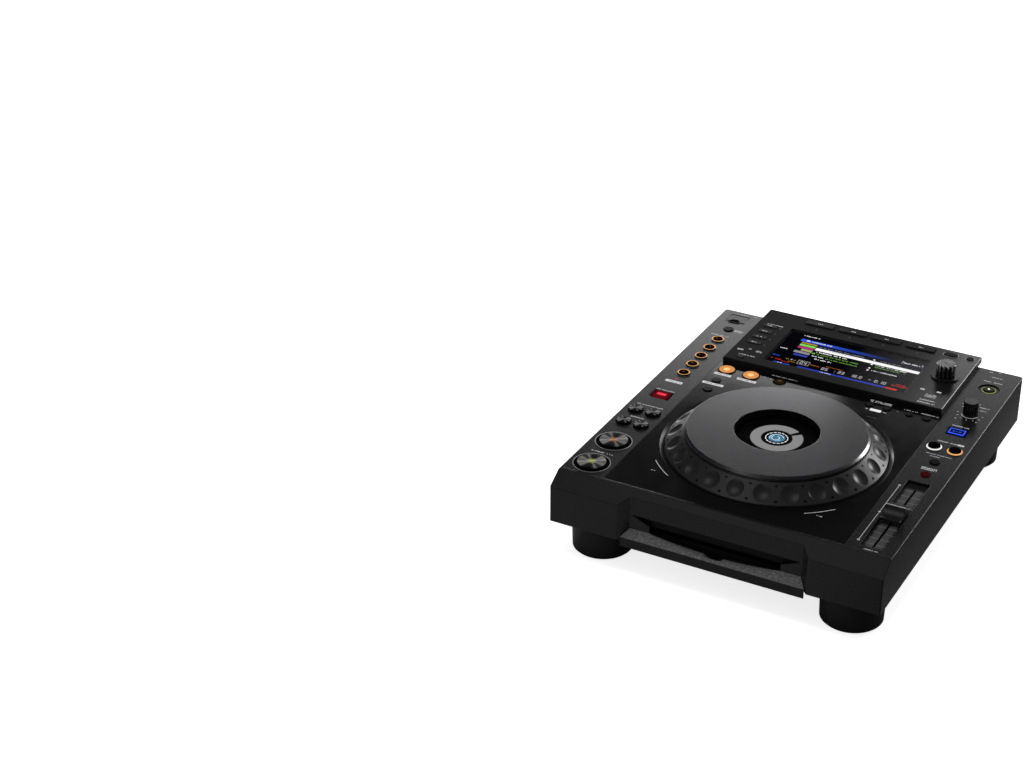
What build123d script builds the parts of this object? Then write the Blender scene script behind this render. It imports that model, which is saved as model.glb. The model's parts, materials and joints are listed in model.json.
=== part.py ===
from build123d import *
import math
import os

# A slot-loading disc player for a DJ booth, in millimetres, standing on z = 0.
# The front faces -Y. Distances are measured back from the front edge of the case.

# Case
width = 305.0
deck_depth = 375.0
overhang = 10.0
deck_height = 77.5
block_height = 67.0
bevel_depth = 17.0
skirt_height = 32.5
foot_height = 28.0
wall = 3.0
edge_break = 0.6
front_corner = 1.0
rear_corner = 3.0

# Fits
gap = 0.3
running_fit = 0.05
seat_gap = 0.2

# Feet
foot_radius = 27.0
foot_flare = 1.0
foot_side = 35.5
foot_inset = 34.5
foot_round = 1.5

# Sheet-metal tray
sheet = 1.5
tray_wall = 18.0
tray_inset = 6.5
tray_front = 8.0
tray_flange = 8.0

# Case screws
screw_side = 11.5
screw_distances = [14.0, 160.0, 318.0]
screw_radius = 1.5
screw_length = 14.0
screw_head_radius = 2.8
screw_head_height = 2.0
boss_radius = 3.5
front_boss_top = 72.0

# Mouth between the front blocks
mouth_half = 87.5
fascia_half = 79.6
fascia_depth = 9.5
fascia_back = 14.0
mouth_tip = 78.0
mouth_top = 55.4
wedge_bottom = 48.0
slot_half = 60.5
slot_bottom = 41.6
slot_top = 46.3
arc_bottom = 37.0
lip_depth = 2.2
lip_bottom = 26.0
lip_edge = 35.0
lip_rear = 41.8
lip_gap = 0.5
notch_half = 12.0
notch_bottom = 33.3
notch_distance = 4.8
throat_half = 72.0
throat_thickness = 4.5
throat_bottom = 33.5
throat_top = 57.0

# Glossy centre panel
panel_front = 20.0
panel_back = 268.0
panel_thickness = 1.8
panel_ledge = 3.0
panel_fit = 0.15

# Display housing
housing_side = 2.0
housing_height = 5.6
housing_wall = 3.5
housing_skin = 2.2
housing_floor = 1.5
housing_break = 0.5
well_side = 8.5
well_front = 273.0
well_back = 366.0
window_left = -73.4
window_right = 68.2
window_front = 281.7
window_back = 354.7
window_thickness = 1.5
window_ledge = 2.0
lcd_border = 1.2
lcd_bottom = 73.0

# Jog wheel
jog_distance = 139.9
plate_radius = 82.0
plate_top = 95.5
plate_bevel = 2.0
plate_skin = 3.0
plate_seat = 90.6
plate_seat_width = 6.0
eye_radius = 38.0
eye_wall = 2.0
eye_screen_radius = 36.0
eye_screen_top = 87.5
eye_screen_thickness = 3.0
ring_radius = 98.6
ring_edge = 77.6
ring_neck = 82.6
ring_wall = 5.0
ring_web = 3.0
ring_floor = 68.0
dimple_count = 24
dimple_width = 16.5
dimple_depth = 2.2
post_radius = 8.0
hub_radius = 14.0
bezel_gap = 0.9
bezel_width = 3.8
bezel_drop = 2.5
bezel_flange = 3.2
bezel_flange_thickness = 2.5
pan_floor = 58.0
pan_sheet = 2.0

# Control columns on the left and the right of the deck
column_width = 42.0
flange = 1.0
flange_thickness = 1.0
cap_round = 0.6
hot_cue_first = 307.9
hot_cue_pitch = 19.7
hot_cue_count = 5
hot_cue_radius = 4.7
hot_cue_rise = 1.8
pair_pitch = 17.4
search_distance = 144.0
track_distance = 119.0
search_radius = 7.1
search_rise = 1.8
deck_mode_pitch = 19.0
sync_distance = 209.2
sync_radius = 5.6
sync_rise = 2.0
small_rise = 1.0
usb_stop_distance = 333.4
usb_stop_radius = 4.9
tempo_range_distance = 182.9
tempo_range_radius = 4.6
master_tempo_distance = 158.9
master_tempo_radius = 4.1
key_length = 17.5
key_width = 12.5
key_rise = 0.5
key_recess_margin = 1.25
key_recess = 0.8
key_corner = 1.5
direction_distance = 179.8
jog_mode_distance = 243.6

# Cue and play buttons
transport_radius = 13.0
transport_rise = 1.8
transport_well = 15.8
transport_well_depth = 1.5
transport_round = 0.8
transport_distances = {"cue_button": 81.4, "play_button": 38.3}

# Eject button
eject_distance = 335.8
eject_radius = 10.0
eject_cap = 5.0
eject_dish = 1.0
eject_rise = 0.4

# Speed knob
speed_distance = 280.9
speed_radius = 6.8
speed_top = 91.5
knob_shaft = 3.0
knob_bush = 6.0
knob_bush_length = 6.5
knob_clip = 4.5
knob_clip_thickness = 1.5
flute_count = 20
flute_radius = 0.55
knob_chamfer = 0.8

# Tempo fader
fader_front = 25.6
fader_back = 143.5
fader_width = 19.9
fader_slot = 1.6
fader_slot_front = 31.5
fader_slot_back = 134.3
fader_margin = 2.0
fader_plate = 1.5
fader_body_width = 12.0
fader_body_height = 9.0
fader_body_wall = 1.5
fader_lip_height = 2.0
fader_stem = 1.2
fader_neck_length = 15.0
fader_stem_length = 3.0
fader_carriage_length = 8.0
fader_carriage_height = 3.0
fader_cap_width = 17.5
fader_cap_length = 27.0
fader_cap_top = 86.5
fader_cap_edge = 80.6
fader_cap_waist = 81.9
fader_cap_waist_y = 6.0
fader_ridge = 2.4

# USB socket and its lid
lid_outer = 10.7
lid_inner = 8.2
lid_front = 350.4
lid_back = 366.4
lid_thickness = 1.5
lid_barrel = 1.2
lid_pin = 0.8
lid_pin_length = 1.5
lid_notch = 6.0
usb_port_length = 12.6
usb_port_width = 5.0
usb_depth = 14.0
usb_wall = 1.5
usb_flange = 2.0

# Buttons on the centre panel
loop_distance = 253.9
loop_radius = 7.5
loop_rise = 1.5
loop_in_x = -97.9
loop_out_x = -73.4
reloop_x = -45.1
reloop_distance = 255.5
reloop_radius = 5.0
beat_key_x = -98.4
beat_key_radius = 4.6
beat_key_distances = [230.6, 210.7]
call_key_distance = 254.6
call_key_radius = 4.0
call_key_x = [44.3, 61.3]
memory_key_distance = 254.0
memory_key_radius = [3.5, 4.0]
memory_key_x = [83.0, 99.3]

# Keys on the display housing
menu_length = 28.3
menu_width = 8.0
menu_pitch = 34.4
menu_distance = 374.5
menu_rise = 1.2
menu_corner = 1.0
source_length = 13.5
source_width = 5.5
source_side = 14.8
source_first = 349.3
source_pitch = 13.2
source_rise = 0.6
source_corner = 0.8
utility_distance = 276.6
utility_radius = 3.5
back_x = 81.3
back_length = 14.0
back_width = 7.5
tag_x = 100.1
tag_radius = 3.75

# Selector on the display housing
selector_side = 18.2
selector_distance = 330.8
selector_radius = 9.0
selector_top = 97.0
selector_skin = 3.0
collar_radius = 13.3
collar_height = 1.4
selector_lift = 0.7
selector_clip_height = 72.0

# Rear panel and its sockets
rear_panel_side = 6.5
rear_panel_bottom = 33.0
rear_panel_top = 73.5
rear_panel_joints = [-85.0, -12.0]
rear_panel_joint = 0.2
rear_window_side = 18.5
rear_window_bottom = 36.0
rear_window_top = 68.0
socket_height = 51.0
socket_reach = 2.0
inlet_x = -108.0
inlet_length = 28.0
inlet_width = 20.0
inlet_flange = 3.0
inlet_mouth_length = 24.0
inlet_mouth_width = 16.5
inlet_depth = 16.0
inlet_back = 20.0
inlet_pin_pitch = 7.0
inlet_pin_length = 4.0
inlet_pin_width = 2.0
inlet_pin_recess = 5.0
lan_x = -30.0
lan_length = 16.5
lan_width = 14.0
lan_mouth_length = 11.7
lan_mouth_width = 7.0
lan_depth = 10.0
usb_device_x = -62.0
usb_device_length = 12.6
usb_device_width = 11.6
usb_device_mouth_length = 8.6
usb_device_mouth_width = 7.8
usb_device_depth = 9.0
usb_tongue_length = 5.6
usb_tongue_width = 3.2
usb_tongue_recess = 4.6
socket_back = 14.0
jack_x = 0.0
jack_radius = 4.0
jack_bore = 1.8
jack_depth = 12.0
phono_x = [30.0, 58.0, 76.0]
phono_radius = 4.15
phono_flange = 5.5
phono_reach = 10.0
phono_bore = 1.65
phono_depth = 8.0
power_x = 112.0
power_length = 12.0
power_width = 8.0
power_reach = 3.0
power_flange = 1.5

# Disc drive
drive_half = 70.0
drive_front = 24.0
drive_back = 166.0
drive_plate_bottom = 34.0
drive_plate_top = 36.0
drive_leg_radius = 5.0
drive_leg_x = 62.0
drive_leg_inset = 8.0
spindle_distance = 92.0
spindle_radius = 2.0
motor_radius = 15.0
motor_bottom = 30.5
turntable_radius = 15.0
turntable_lift = 0.5
turntable_top = 41.5
cone_radius = 7.4
cone_top = 43.6
rod_radius = 1.5
rod_x = 26.0
rod_height = 39.5
rod_front = 100.0
rod_back = 164.0
lug_length = 3.0
lug_half = 4.0
lug_top = 42.5
sled_front = 108.5
sled_length = 20.0
sled_half = 30.0
sled_lift = 0.6
lens_radius = 4.0
lens_rise = 0.6
roller_distance = 27.0
roller_height = 39.8
roller_radius = 3.5
roller_half = 55.0
roller_shaft = 1.5
roller_lug_inner = 58.0
roller_lug_outer = 61.0
roller_lug_top = 43.0

# Circuit boards
board_thickness = 1.6
board_left = -80.0
board_right = 100.0
board_front = 205.0
board_back = 352.0
board_bottom = 50.0
board_post_inset = 8.0
board_post_radius = 3.0
chip_height = 3.0
large_chip = 24.0
large_chip_spots = [(-30.0, 260.0), (35.0, 255.0), (20.0, 310.0)]
small_chip = (18.0, 9.0)
small_chip_spots = [(70.0, 300.0), (-45.0, 325.0), (65.0, 240.0)]
supply_left = -130.0
supply_right = -78.0
supply_front = 262.0
supply_back = 345.0
supply_bottom = 31.0
supply_post_inset = 6.0
transformer_size = (30.0, 26.0, 14.0)
capacitor_radius = 6.0
capacitor_height = 12.0

# Names of the derived levels and planes
front = -(deck_depth + overhang) / 2
skin_bottom = deck_height - wall
panel_bottom = deck_height - panel_thickness
floor_top = foot_height + sheet
housing_top = deck_height + housing_height
housing_under = housing_top - housing_skin
rear_face = deck_depth - wall
tray_half = width / 2 - tray_inset
rear_panel_half = width / 2 - rear_panel_side
rear_window_half = width / 2 - rear_window_side
foot_x = width / 2 - foot_side
screw_x = width / 2 - screw_side
panel_half = width / 2 - column_width
column = width / 2 - column_width / 2
lid_left = -(column + lid_outer)
lid_right = -(column - lid_inner)
housing_half = panel_half - housing_side
well_half = housing_half - well_side
selector_x = housing_half - selector_side
source_x = -(housing_half - source_side)
bezel_inner = ring_radius + bezel_gap
bezel_outer = bezel_inner + bezel_width
tray_back = rear_face - sheet


def at(distance):
    """Y of a point this far behind the front edge of the case."""
    return front + distance


def save(piece, name):
    """Name a finished piece and write its file."""
    piece.part.label = name
    export_step(piece.part, f"parts/{name}.step")


def flanged_button(name, outline, spot, rise, top, skin):
    """A cap that stands proud of its skin, held from below by a flange."""
    with BuildPart() as button:
        with BuildSketch(Plane.XY.offset(top - skin - flange_thickness)):
            with Locations(spot):
                outline(flange)
        extrude(amount=flange_thickness)
        with BuildSketch(Plane.XY.offset(top - skin)):
            with Locations(spot):
                outline(0)
        extrude(amount=skin + rise)
        fillet(button.faces().sort_by(Axis.Z)[-1].outer_wire().edges(), cap_round)
    save(button, name)


def disc_outline(radius):
    """A round cap outline that grows by a margin."""
    return lambda margin: Circle(radius + margin)


def key_outline(length, breadth, corner):
    """A rounded rectangular cap outline that grows by a margin."""
    return lambda margin: RectangleRounded(
        length + 2 * margin, breadth + 2 * margin, corner
    )


os.makedirs("parts", exist_ok=True)

# Each deck button: its outline, its place and how far it stands proud
deck_buttons = {
    "usb_stop_button": (
        disc_outline(usb_stop_radius),
        (-column, at(usb_stop_distance)),
        small_rise,
    ),
    "direction_button": (
        key_outline(key_length, key_width, key_corner),
        (-column, at(direction_distance)),
        key_rise,
    ),
    "jog_mode_button": (
        key_outline(key_length, key_width, key_corner),
        (column, at(jog_mode_distance)),
        key_rise,
    ),
    "tempo_range_button": (
        disc_outline(tempo_range_radius),
        (column, at(tempo_range_distance)),
        small_rise,
    ),
    "master_tempo_button": (
        disc_outline(master_tempo_radius),
        (column, at(master_tempo_distance)),
        small_rise,
    ),
}
for index in range(hot_cue_count):
    deck_buttons[f"hot_cue_{index + 1}"] = (
        disc_outline(hot_cue_radius),
        (-column, at(hot_cue_first - index * hot_cue_pitch)),
        hot_cue_rise,
    )
for name, side in (("back", -1), ("forward", 1)):
    for row, distance in (("search", search_distance), ("track", track_distance)):
        deck_buttons[f"{row}_{name}"] = (
            disc_outline(search_radius),
            (-column + side * pair_pitch / 2, at(distance)),
            search_rise,
        )
for name, side in (("sync_button", -1), ("master_button", 1)):
    deck_buttons[name] = (
        disc_outline(sync_radius),
        (column + side * deck_mode_pitch / 2, at(sync_distance)),
        sync_rise,
    )

# The same for the single buttons of the centre panel
panel_buttons = {
    "loop_in_button": (
        disc_outline(loop_radius),
        (loop_in_x, at(loop_distance)),
        loop_rise,
    ),
    "loop_out_button": (
        disc_outline(loop_radius),
        (loop_out_x, at(loop_distance)),
        loop_rise,
    ),
    "reloop_button": (
        disc_outline(reloop_radius),
        (reloop_x, at(reloop_distance)),
        small_rise,
    ),
}

# Pairs of small keys moulded together, each key as radius and place
panel_pairs = {
    "beat_loop_keys": [
        (beat_key_radius, (beat_key_x, at(distance))) for distance in beat_key_distances
    ],
    "call_keys": [
        (call_key_radius, (x, at(call_key_distance))) for x in call_key_x
    ],
    "memory_keys": [
        (radius, (x, at(memory_key_distance)))
        for radius, x in zip(memory_key_radius, memory_key_x)
    ],
}

# Shell of the whole case, before its two mouldings are parted
with BuildPart() as case_shell:
    with BuildSketch(Plane.YZ.offset(-width / 2)):
        with BuildLine():
            Polyline(
                (at(0), skirt_height),
                (at(0), block_height),
                (at(bevel_depth), deck_height),
                (at(deck_depth), deck_height),
                (at(deck_depth), skirt_height),
                close=True,
            )
        make_face()
    extrude(amount=width)
    fillet(case_shell.edges().filter_by(Axis.Z).group_by(Axis.Y)[-1], rear_corner)
    fillet(case_shell.edges().filter_by(Axis.Z).group_by(Axis.Y)[0], front_corner)
    chamfer(case_shell.edges().filter_by(Axis.Y).group_by(Axis.Z)[-1], edge_break)
    with BuildSketch(Plane.YZ.offset(-width / 2 + wall)):
        with BuildLine():
            Polyline(
                (at(wall), skirt_height),
                (at(wall), block_height - wall),
                (at(bevel_depth), skin_bottom),
                (at(rear_face), skin_bottom),
                (at(rear_face), skirt_height),
                close=True,
            )
        make_face()
    extrude(amount=width - 2 * wall, mode=Mode.SUBTRACT)
    # Lining of the mouth between the blocks
    with BuildSketch(Plane.YZ.offset(-mouth_half - wall)):
        with BuildLine():
            Polyline(
                (at(0), skirt_height),
                (at(0), block_height),
                (at(bevel_depth), deck_height),
                (at(fascia_back), front_boss_top),
                (at(fascia_back), skirt_height),
                close=True,
            )
        make_face()
    extrude(amount=2 * (mouth_half + wall))
    with BuildSketch(Plane.XY.offset(skirt_height)):
        with BuildLine():
            Polyline(
                (-mouth_half, at(0)),
                (mouth_half, at(0)),
                (fascia_half, at(fascia_depth)),
                (-fascia_half, at(fascia_depth)),
                close=True,
            )
        make_face()
    extrude(amount=deck_height - skirt_height, mode=Mode.SUBTRACT)
    # Wedge-ended opening in the fascia, with an arched lower edge
    with BuildSketch(Plane.XZ.offset(-at(fascia_depth))):
        with BuildLine():
            Polyline(
                (-slot_half, slot_bottom),
                (-slot_half, wedge_bottom),
                (-mouth_tip, mouth_top),
                (mouth_tip, mouth_top),
                (slot_half, wedge_bottom),
                (slot_half, slot_bottom),
            )
            ThreePointArc(
                (slot_half, slot_bottom), (0, arc_bottom), (-slot_half, slot_bottom)
            )
        make_face()
        with BuildLine():
            ThreePointArc(
                (notch_half, slot_bottom), (0, notch_bottom), (-notch_half, slot_bottom)
            )
            Line((-notch_half, slot_bottom), (notch_half, slot_bottom))
        make_face()
    extrude(amount=fascia_depth - fascia_back, mode=Mode.SUBTRACT)
    # Pocket and ledge of the centre panel
    with BuildSketch(Plane.XY.offset(deck_height)):
        with Locations((0, at((panel_front + panel_back) / 2))):
            Rectangle(2 * panel_half, panel_back - panel_front)
    extrude(amount=-panel_thickness, mode=Mode.SUBTRACT)
    with BuildSketch(Plane.XY.offset(deck_height)):
        with Locations((0, at((panel_front + panel_back) / 2))):
            Rectangle(
                2 * (panel_half - panel_ledge),
                panel_back - panel_front - 2 * panel_ledge,
            )
        with Locations((0, at((well_front + well_back) / 2))):
            Rectangle(2 * well_half, well_back - well_front)
        with Locations((column, at((fader_front + fader_back) / 2))):
            Rectangle(fader_width, fader_back - fader_front)
        with Locations(((lid_left + lid_right) / 2, at((lid_front + lid_back) / 2))):
            Rectangle(lid_right - lid_left + 2 * gap, lid_back - lid_front + 2 * gap)
        for outline, spot, rise in deck_buttons.values():
            with Locations(spot):
                outline(gap)
        for distance in transport_distances.values():
            with Locations((-column, at(distance))):
                Circle(transport_well + gap)
        with Locations((column, at(eject_distance))):
            Circle(eject_radius + gap)
    extrude(amount=-wall, mode=Mode.SUBTRACT)
    # Shallow recesses round the two lit keys and the finger notch of the lid
    with BuildSketch(Plane.XY.offset(deck_height)):
        with Locations(
            (-column, at(direction_distance)), (column, at(jog_mode_distance))
        ):
            RectangleRounded(
                key_length + 2 * key_recess_margin,
                key_width + 2 * key_recess_margin,
                key_corner,
            )
        with Locations(((lid_left + lid_right) / 2, at(lid_front))):
            Circle(lid_notch)
    extrude(amount=-key_recess, mode=Mode.SUBTRACT)
    # Pin holes of the lid's hinge
    with BuildSketch(Plane.YZ.offset(lid_left - gap - lid_pin_length)):
        with Locations((at(lid_back - lid_barrel), deck_height - lid_barrel)):
            Circle(lid_pin + running_fit)
    extrude(
        amount=lid_right - lid_left + 2 * (gap + lid_pin_length), mode=Mode.SUBTRACT
    )
    # Bush of the speed knob
    with BuildSketch(Plane.XY.offset(skin_bottom)):
        with Locations((column, at(speed_distance))):
            Circle(knob_bush)
    extrude(amount=-knob_bush_length)
    with BuildSketch(Plane.XY.offset(deck_height)):
        with Locations((column, at(speed_distance))):
            Circle(knob_shaft + running_fit)
    extrude(amount=-wall - knob_bush_length, mode=Mode.SUBTRACT)
    # Screw bosses
    for distance in screw_distances:
        boss_top = front_boss_top if distance < bevel_depth else skin_bottom
        with BuildSketch(Plane.XY.offset(floor_top)):
            with Locations((-screw_x, at(distance)), (screw_x, at(distance))):
                Circle(boss_radius)
        extrude(amount=boss_top - floor_top)
        with BuildSketch(Plane.XY.offset(floor_top)):
            with Locations((-screw_x, at(distance)), (screw_x, at(distance))):
                Circle(screw_radius + running_fit)
        extrude(amount=screw_length, mode=Mode.SUBTRACT)
    # Window for the sockets in the rear wall
    with BuildSketch(Plane.XZ.offset(-at(deck_depth))):
        with Locations((0, (rear_window_bottom + rear_window_top) / 2)):
            Rectangle(2 * rear_window_half, rear_window_top - rear_window_bottom)
    extrude(amount=wall, mode=Mode.SUBTRACT)

# The mouldings meet along the front edge of the centre panel
seam = Plane.XZ.offset(-at(panel_front))

# Front moulding with the two blocks, the bevel and the fascia
with BuildPart() as front_moulding:
    add(case_shell.part)
    split(bisect_by=seam, keep=Keep.TOP)
save(front_moulding, "front_moulding")

# Upper case with the deck and its side walls
with BuildPart() as top_case:
    add(case_shell.part)
    split(bisect_by=seam, keep=Keep.BOTTOM)
save(top_case, "top_case")

# Sheet-metal tray that closes the player from below
with BuildPart() as bottom_chassis:
    with BuildSketch(Plane.XY.offset(foot_height)):
        with Locations((0, at((tray_front + tray_back) / 2))):
            Rectangle(2 * tray_half, tray_back - tray_front)
    extrude(amount=tray_wall)
    with BuildSketch(Plane.XY.offset(floor_top)):
        with Locations((0, at((tray_front + tray_back) / 2))):
            Rectangle(2 * (tray_half - sheet), tray_back - tray_front - 2 * sheet)
    extrude(amount=tray_wall, mode=Mode.SUBTRACT)
    # The rear wall is a low flange under the sockets
    with BuildSketch(Plane.XY.offset(foot_height + tray_flange)):
        with Locations((0, at(tray_back))):
            Rectangle(2 * (tray_half - sheet), 4 * sheet)
    extrude(amount=tray_wall, mode=Mode.SUBTRACT)
    # Room for the mouth and its lip
    with BuildSketch(Plane.XY.offset(foot_height)):
        with Locations((0, at(fascia_back / 2))):
            Rectangle(2 * (mouth_half + wall + seat_gap), fascia_back + 2 * seat_gap)
    extrude(amount=tray_wall, mode=Mode.SUBTRACT)
    # Posts of the main board
    with BuildSketch(Plane.XY.offset(floor_top)):
        for x in (board_left + board_post_inset, board_right - board_post_inset):
            for distance in (
                board_front + board_post_inset,
                board_back - board_post_inset,
            ):
                with Locations((x, at(distance))):
                    Circle(board_post_radius)
    extrude(amount=board_bottom - floor_top)
    with BuildSketch(Plane.XY.offset(foot_height)):
        for distance in screw_distances:
            with Locations((-screw_x, at(distance)), (screw_x, at(distance))):
                Circle(screw_radius + seat_gap)
    extrude(amount=sheet, mode=Mode.SUBTRACT)
save(bottom_chassis, "bottom_chassis")

# Six screws that hold the case to the tray
with BuildPart() as case_screws:
    with BuildSketch(Plane.XY.offset(foot_height)):
        for distance in screw_distances:
            with Locations((-screw_x, at(distance)), (screw_x, at(distance))):
                Circle(screw_head_radius)
    extrude(amount=-screw_head_height)
    with BuildSketch(Plane.XY.offset(foot_height)):
        for distance in screw_distances:
            with Locations((-screw_x, at(distance)), (screw_x, at(distance))):
                Circle(screw_radius)
    extrude(amount=screw_length)
save(case_screws, "case_screws")

# Four round feet
with BuildPart() as feet:
    with BuildSketch(Plane.XY):
        with Locations((0, at(deck_depth / 2))):
            with GridLocations(2 * foot_x, deck_depth - 2 * foot_inset, 2, 2):
                Circle(foot_radius)
    extrude(
        amount=foot_height, taper=-math.degrees(math.atan(foot_flare / foot_height))
    )
    chamfer(feet.edges().group_by(Axis.Z)[0], foot_round)
save(feet, "feet")

# Lip below the mouth, with a sloping top and a finger notch
with BuildPart() as disc_lip:
    with BuildSketch(Plane.YZ.offset(-mouth_half)):
        with BuildLine():
            Polyline(
                (at(lip_depth), lip_bottom),
                (at(lip_depth), lip_edge),
                (at(fascia_depth), lip_rear),
                (at(fascia_depth), skirt_height),
                (at(fascia_back), skirt_height),
                (at(fascia_back), lip_bottom),
                close=True,
            )
        make_face()
    extrude(amount=2 * mouth_half)
    with BuildSketch(Plane.XY.offset(lip_bottom)):
        with BuildLine():
            Polyline(
                (-mouth_half + lip_gap, at(0)),
                (mouth_half - lip_gap, at(0)),
                (fascia_half - lip_gap, at(fascia_depth)),
                (fascia_half - lip_gap, at(fascia_back)),
                (-fascia_half + lip_gap, at(fascia_back)),
                (-fascia_half + lip_gap, at(fascia_depth)),
                close=True,
            )
        make_face()
    extrude(amount=deck_height, mode=Mode.INTERSECT)
    with BuildSketch(Plane.XZ.offset(-at(lip_depth))):
        with BuildLine():
            Polyline(
                (-slot_half, slot_bottom),
                (-slot_half, mouth_top),
                (slot_half, mouth_top),
                (slot_half, slot_bottom),
            )
            ThreePointArc(
                (slot_half, slot_bottom), (0, arc_bottom), (-slot_half, slot_bottom)
            )
        make_face()
    extrude(amount=lip_depth - fascia_back, mode=Mode.SUBTRACT)
    with BuildSketch(Plane.XZ.offset(-at(notch_distance))):
        with BuildLine():
            ThreePointArc(
                (notch_half, slot_bottom), (0, notch_bottom), (-notch_half, slot_bottom)
            )
            Line((-notch_half, slot_bottom), (notch_half, slot_bottom))
        make_face()
    extrude(amount=notch_distance - fascia_back, mode=Mode.SUBTRACT)
save(disc_lip, "disc_lip")

# Plate with the disc slot, behind the fascia
with BuildPart() as slot_throat:
    with BuildSketch(Plane.XZ.offset(-at(fascia_back))):
        with Locations((0, (throat_bottom + throat_top) / 2)):
            Rectangle(2 * throat_half, throat_top - throat_bottom)
        with Locations((0, (slot_bottom + slot_top) / 2)):
            Rectangle(2 * slot_half, slot_top - slot_bottom, mode=Mode.SUBTRACT)
    extrude(amount=-throat_thickness)
save(slot_throat, "slot_throat")

# Glossy centre panel
with BuildPart() as deck_panel:
    with BuildSketch(Plane.XY.offset(panel_bottom)):
        with Locations((0, at((panel_front + panel_back) / 2))):
            Rectangle(
                2 * (panel_half - panel_fit), panel_back - panel_front - 2 * panel_fit
            )
        with Locations((0, at(jog_distance))):
            Circle(bezel_outer + panel_fit, mode=Mode.SUBTRACT)
    extrude(amount=panel_thickness)
    with BuildSketch(Plane.XY.offset(panel_bottom)):
        for outline, spot, rise in panel_buttons.values():
            with Locations(spot):
                outline(gap)
        for keys in panel_pairs.values():
            for radius, spot in keys:
                with Locations(spot):
                    Circle(radius + gap)
    extrude(amount=panel_thickness, mode=Mode.SUBTRACT)
save(deck_panel, "deck_panel")

# Buttons of the side columns and of the centre panel
for name, (outline, spot, rise) in deck_buttons.items():
    flanged_button(name, outline, spot, rise, deck_height, wall)
for name, (outline, spot, rise) in panel_buttons.items():
    flanged_button(name, outline, spot, rise, deck_height, panel_thickness)

# Pairs of keys, joined under the panel by their flange
for name, keys in panel_pairs.items():
    (first_radius, first), (second_radius, second) = keys
    middle = ((first[0] + second[0]) / 2, (first[1] + second[1]) / 2)
    with BuildPart() as pair:
        with BuildSketch(Plane.XY.offset(panel_bottom - flange_thickness)):
            for radius, spot in keys:
                with Locations(spot):
                    Circle(radius + flange)
            with Locations(middle):
                Rectangle(
                    abs(first[0] - second[0]) + 2 * first_radius,
                    abs(first[1] - second[1]) + 2 * first_radius,
                )
        extrude(amount=flange_thickness)
        with BuildSketch(Plane.XY.offset(panel_bottom)):
            for radius, spot in keys:
                with Locations(spot):
                    Circle(radius)
        extrude(amount=panel_thickness + small_rise)
        fillet(pair.edges().group_by(Axis.Z)[-1], cap_round)
    save(pair, name)

# Cue and play buttons: a raised cap in a sunk black collar
for name, distance in transport_distances.items():
    with BuildPart() as transport:
        with BuildSketch(Plane.XY.offset(skin_bottom - flange_thickness)):
            with Locations((-column, at(distance))):
                Circle(transport_well + flange)
        extrude(amount=flange_thickness)
        with BuildSketch(Plane.XY.offset(skin_bottom)):
            with Locations((-column, at(distance))):
                Circle(transport_well)
        extrude(amount=wall - transport_well_depth)
        with BuildSketch(Plane.XY.offset(deck_height - transport_well_depth)):
            with Locations((-column, at(distance))):
                Circle(transport_radius)
        extrude(amount=transport_well_depth + transport_rise)
        fillet(transport.edges().group_by(Axis.Z)[-1], transport_round)
    save(transport, name)

# Eject button: a small cap in a dished collar
with BuildPart() as eject_button:
    with BuildSketch(Plane.XY.offset(skin_bottom - flange_thickness)):
        with Locations((column, at(eject_distance))):
            Circle(eject_radius + flange)
    extrude(amount=flange_thickness)
    with BuildSketch(Plane.XY.offset(skin_bottom)):
        with Locations((column, at(eject_distance))):
            Circle(eject_radius)
    extrude(amount=wall - eject_dish)
    with BuildSketch(Plane.XY.offset(deck_height - eject_dish)):
        with Locations((column, at(eject_distance))):
            Circle(eject_cap)
    extrude(amount=eject_dish + eject_rise)
    fillet(eject_button.edges().group_by(Axis.Z)[-1], cap_round)
save(eject_button, "eject_button")

# Pan under the jog wheel, with the bright bezel and the centre post
jog_axis = Axis((0, at(jog_distance), 0), (0, 0, 1))
jog_section = Plane(
    origin=(0, at(jog_distance), 0), x_dir=(1, 0, 0), z_dir=(0, -1, 0)
)
post_top = eye_screen_top - eye_screen_thickness
with BuildPart() as jog_bezel:
    with BuildSketch(jog_section):
        with BuildLine():
            Polyline(
                (0, pan_floor),
                (bezel_outer, pan_floor),
                (bezel_outer, panel_bottom - bezel_flange_thickness),
                (bezel_outer + bezel_flange, panel_bottom - bezel_flange_thickness),
                (bezel_outer + bezel_flange, panel_bottom),
                (bezel_outer, panel_bottom),
                (bezel_outer, deck_height),
                (bezel_inner, deck_height - bezel_drop),
                (bezel_inner, panel_bottom - bezel_flange_thickness),
                (bezel_outer - pan_sheet, panel_bottom - 2 * bezel_flange_thickness),
                (bezel_outer - pan_sheet, pan_floor + pan_sheet),
                (post_radius, pan_floor + pan_sheet),
                (post_radius, post_top),
                (0, post_top),
                close=True,
            )
        make_face()
    revolve(axis=jog_axis)
save(jog_bezel, "jog_bezel")

# Round screen on top of the post, in the eye of the jog wheel
with BuildPart() as jog_display:
    with BuildSketch(Plane.XY.offset(post_top)):
        with Locations((0, at(jog_distance))):
            Circle(eye_screen_radius)
    extrude(amount=eye_screen_thickness)
save(jog_display, "jog_display")

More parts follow.
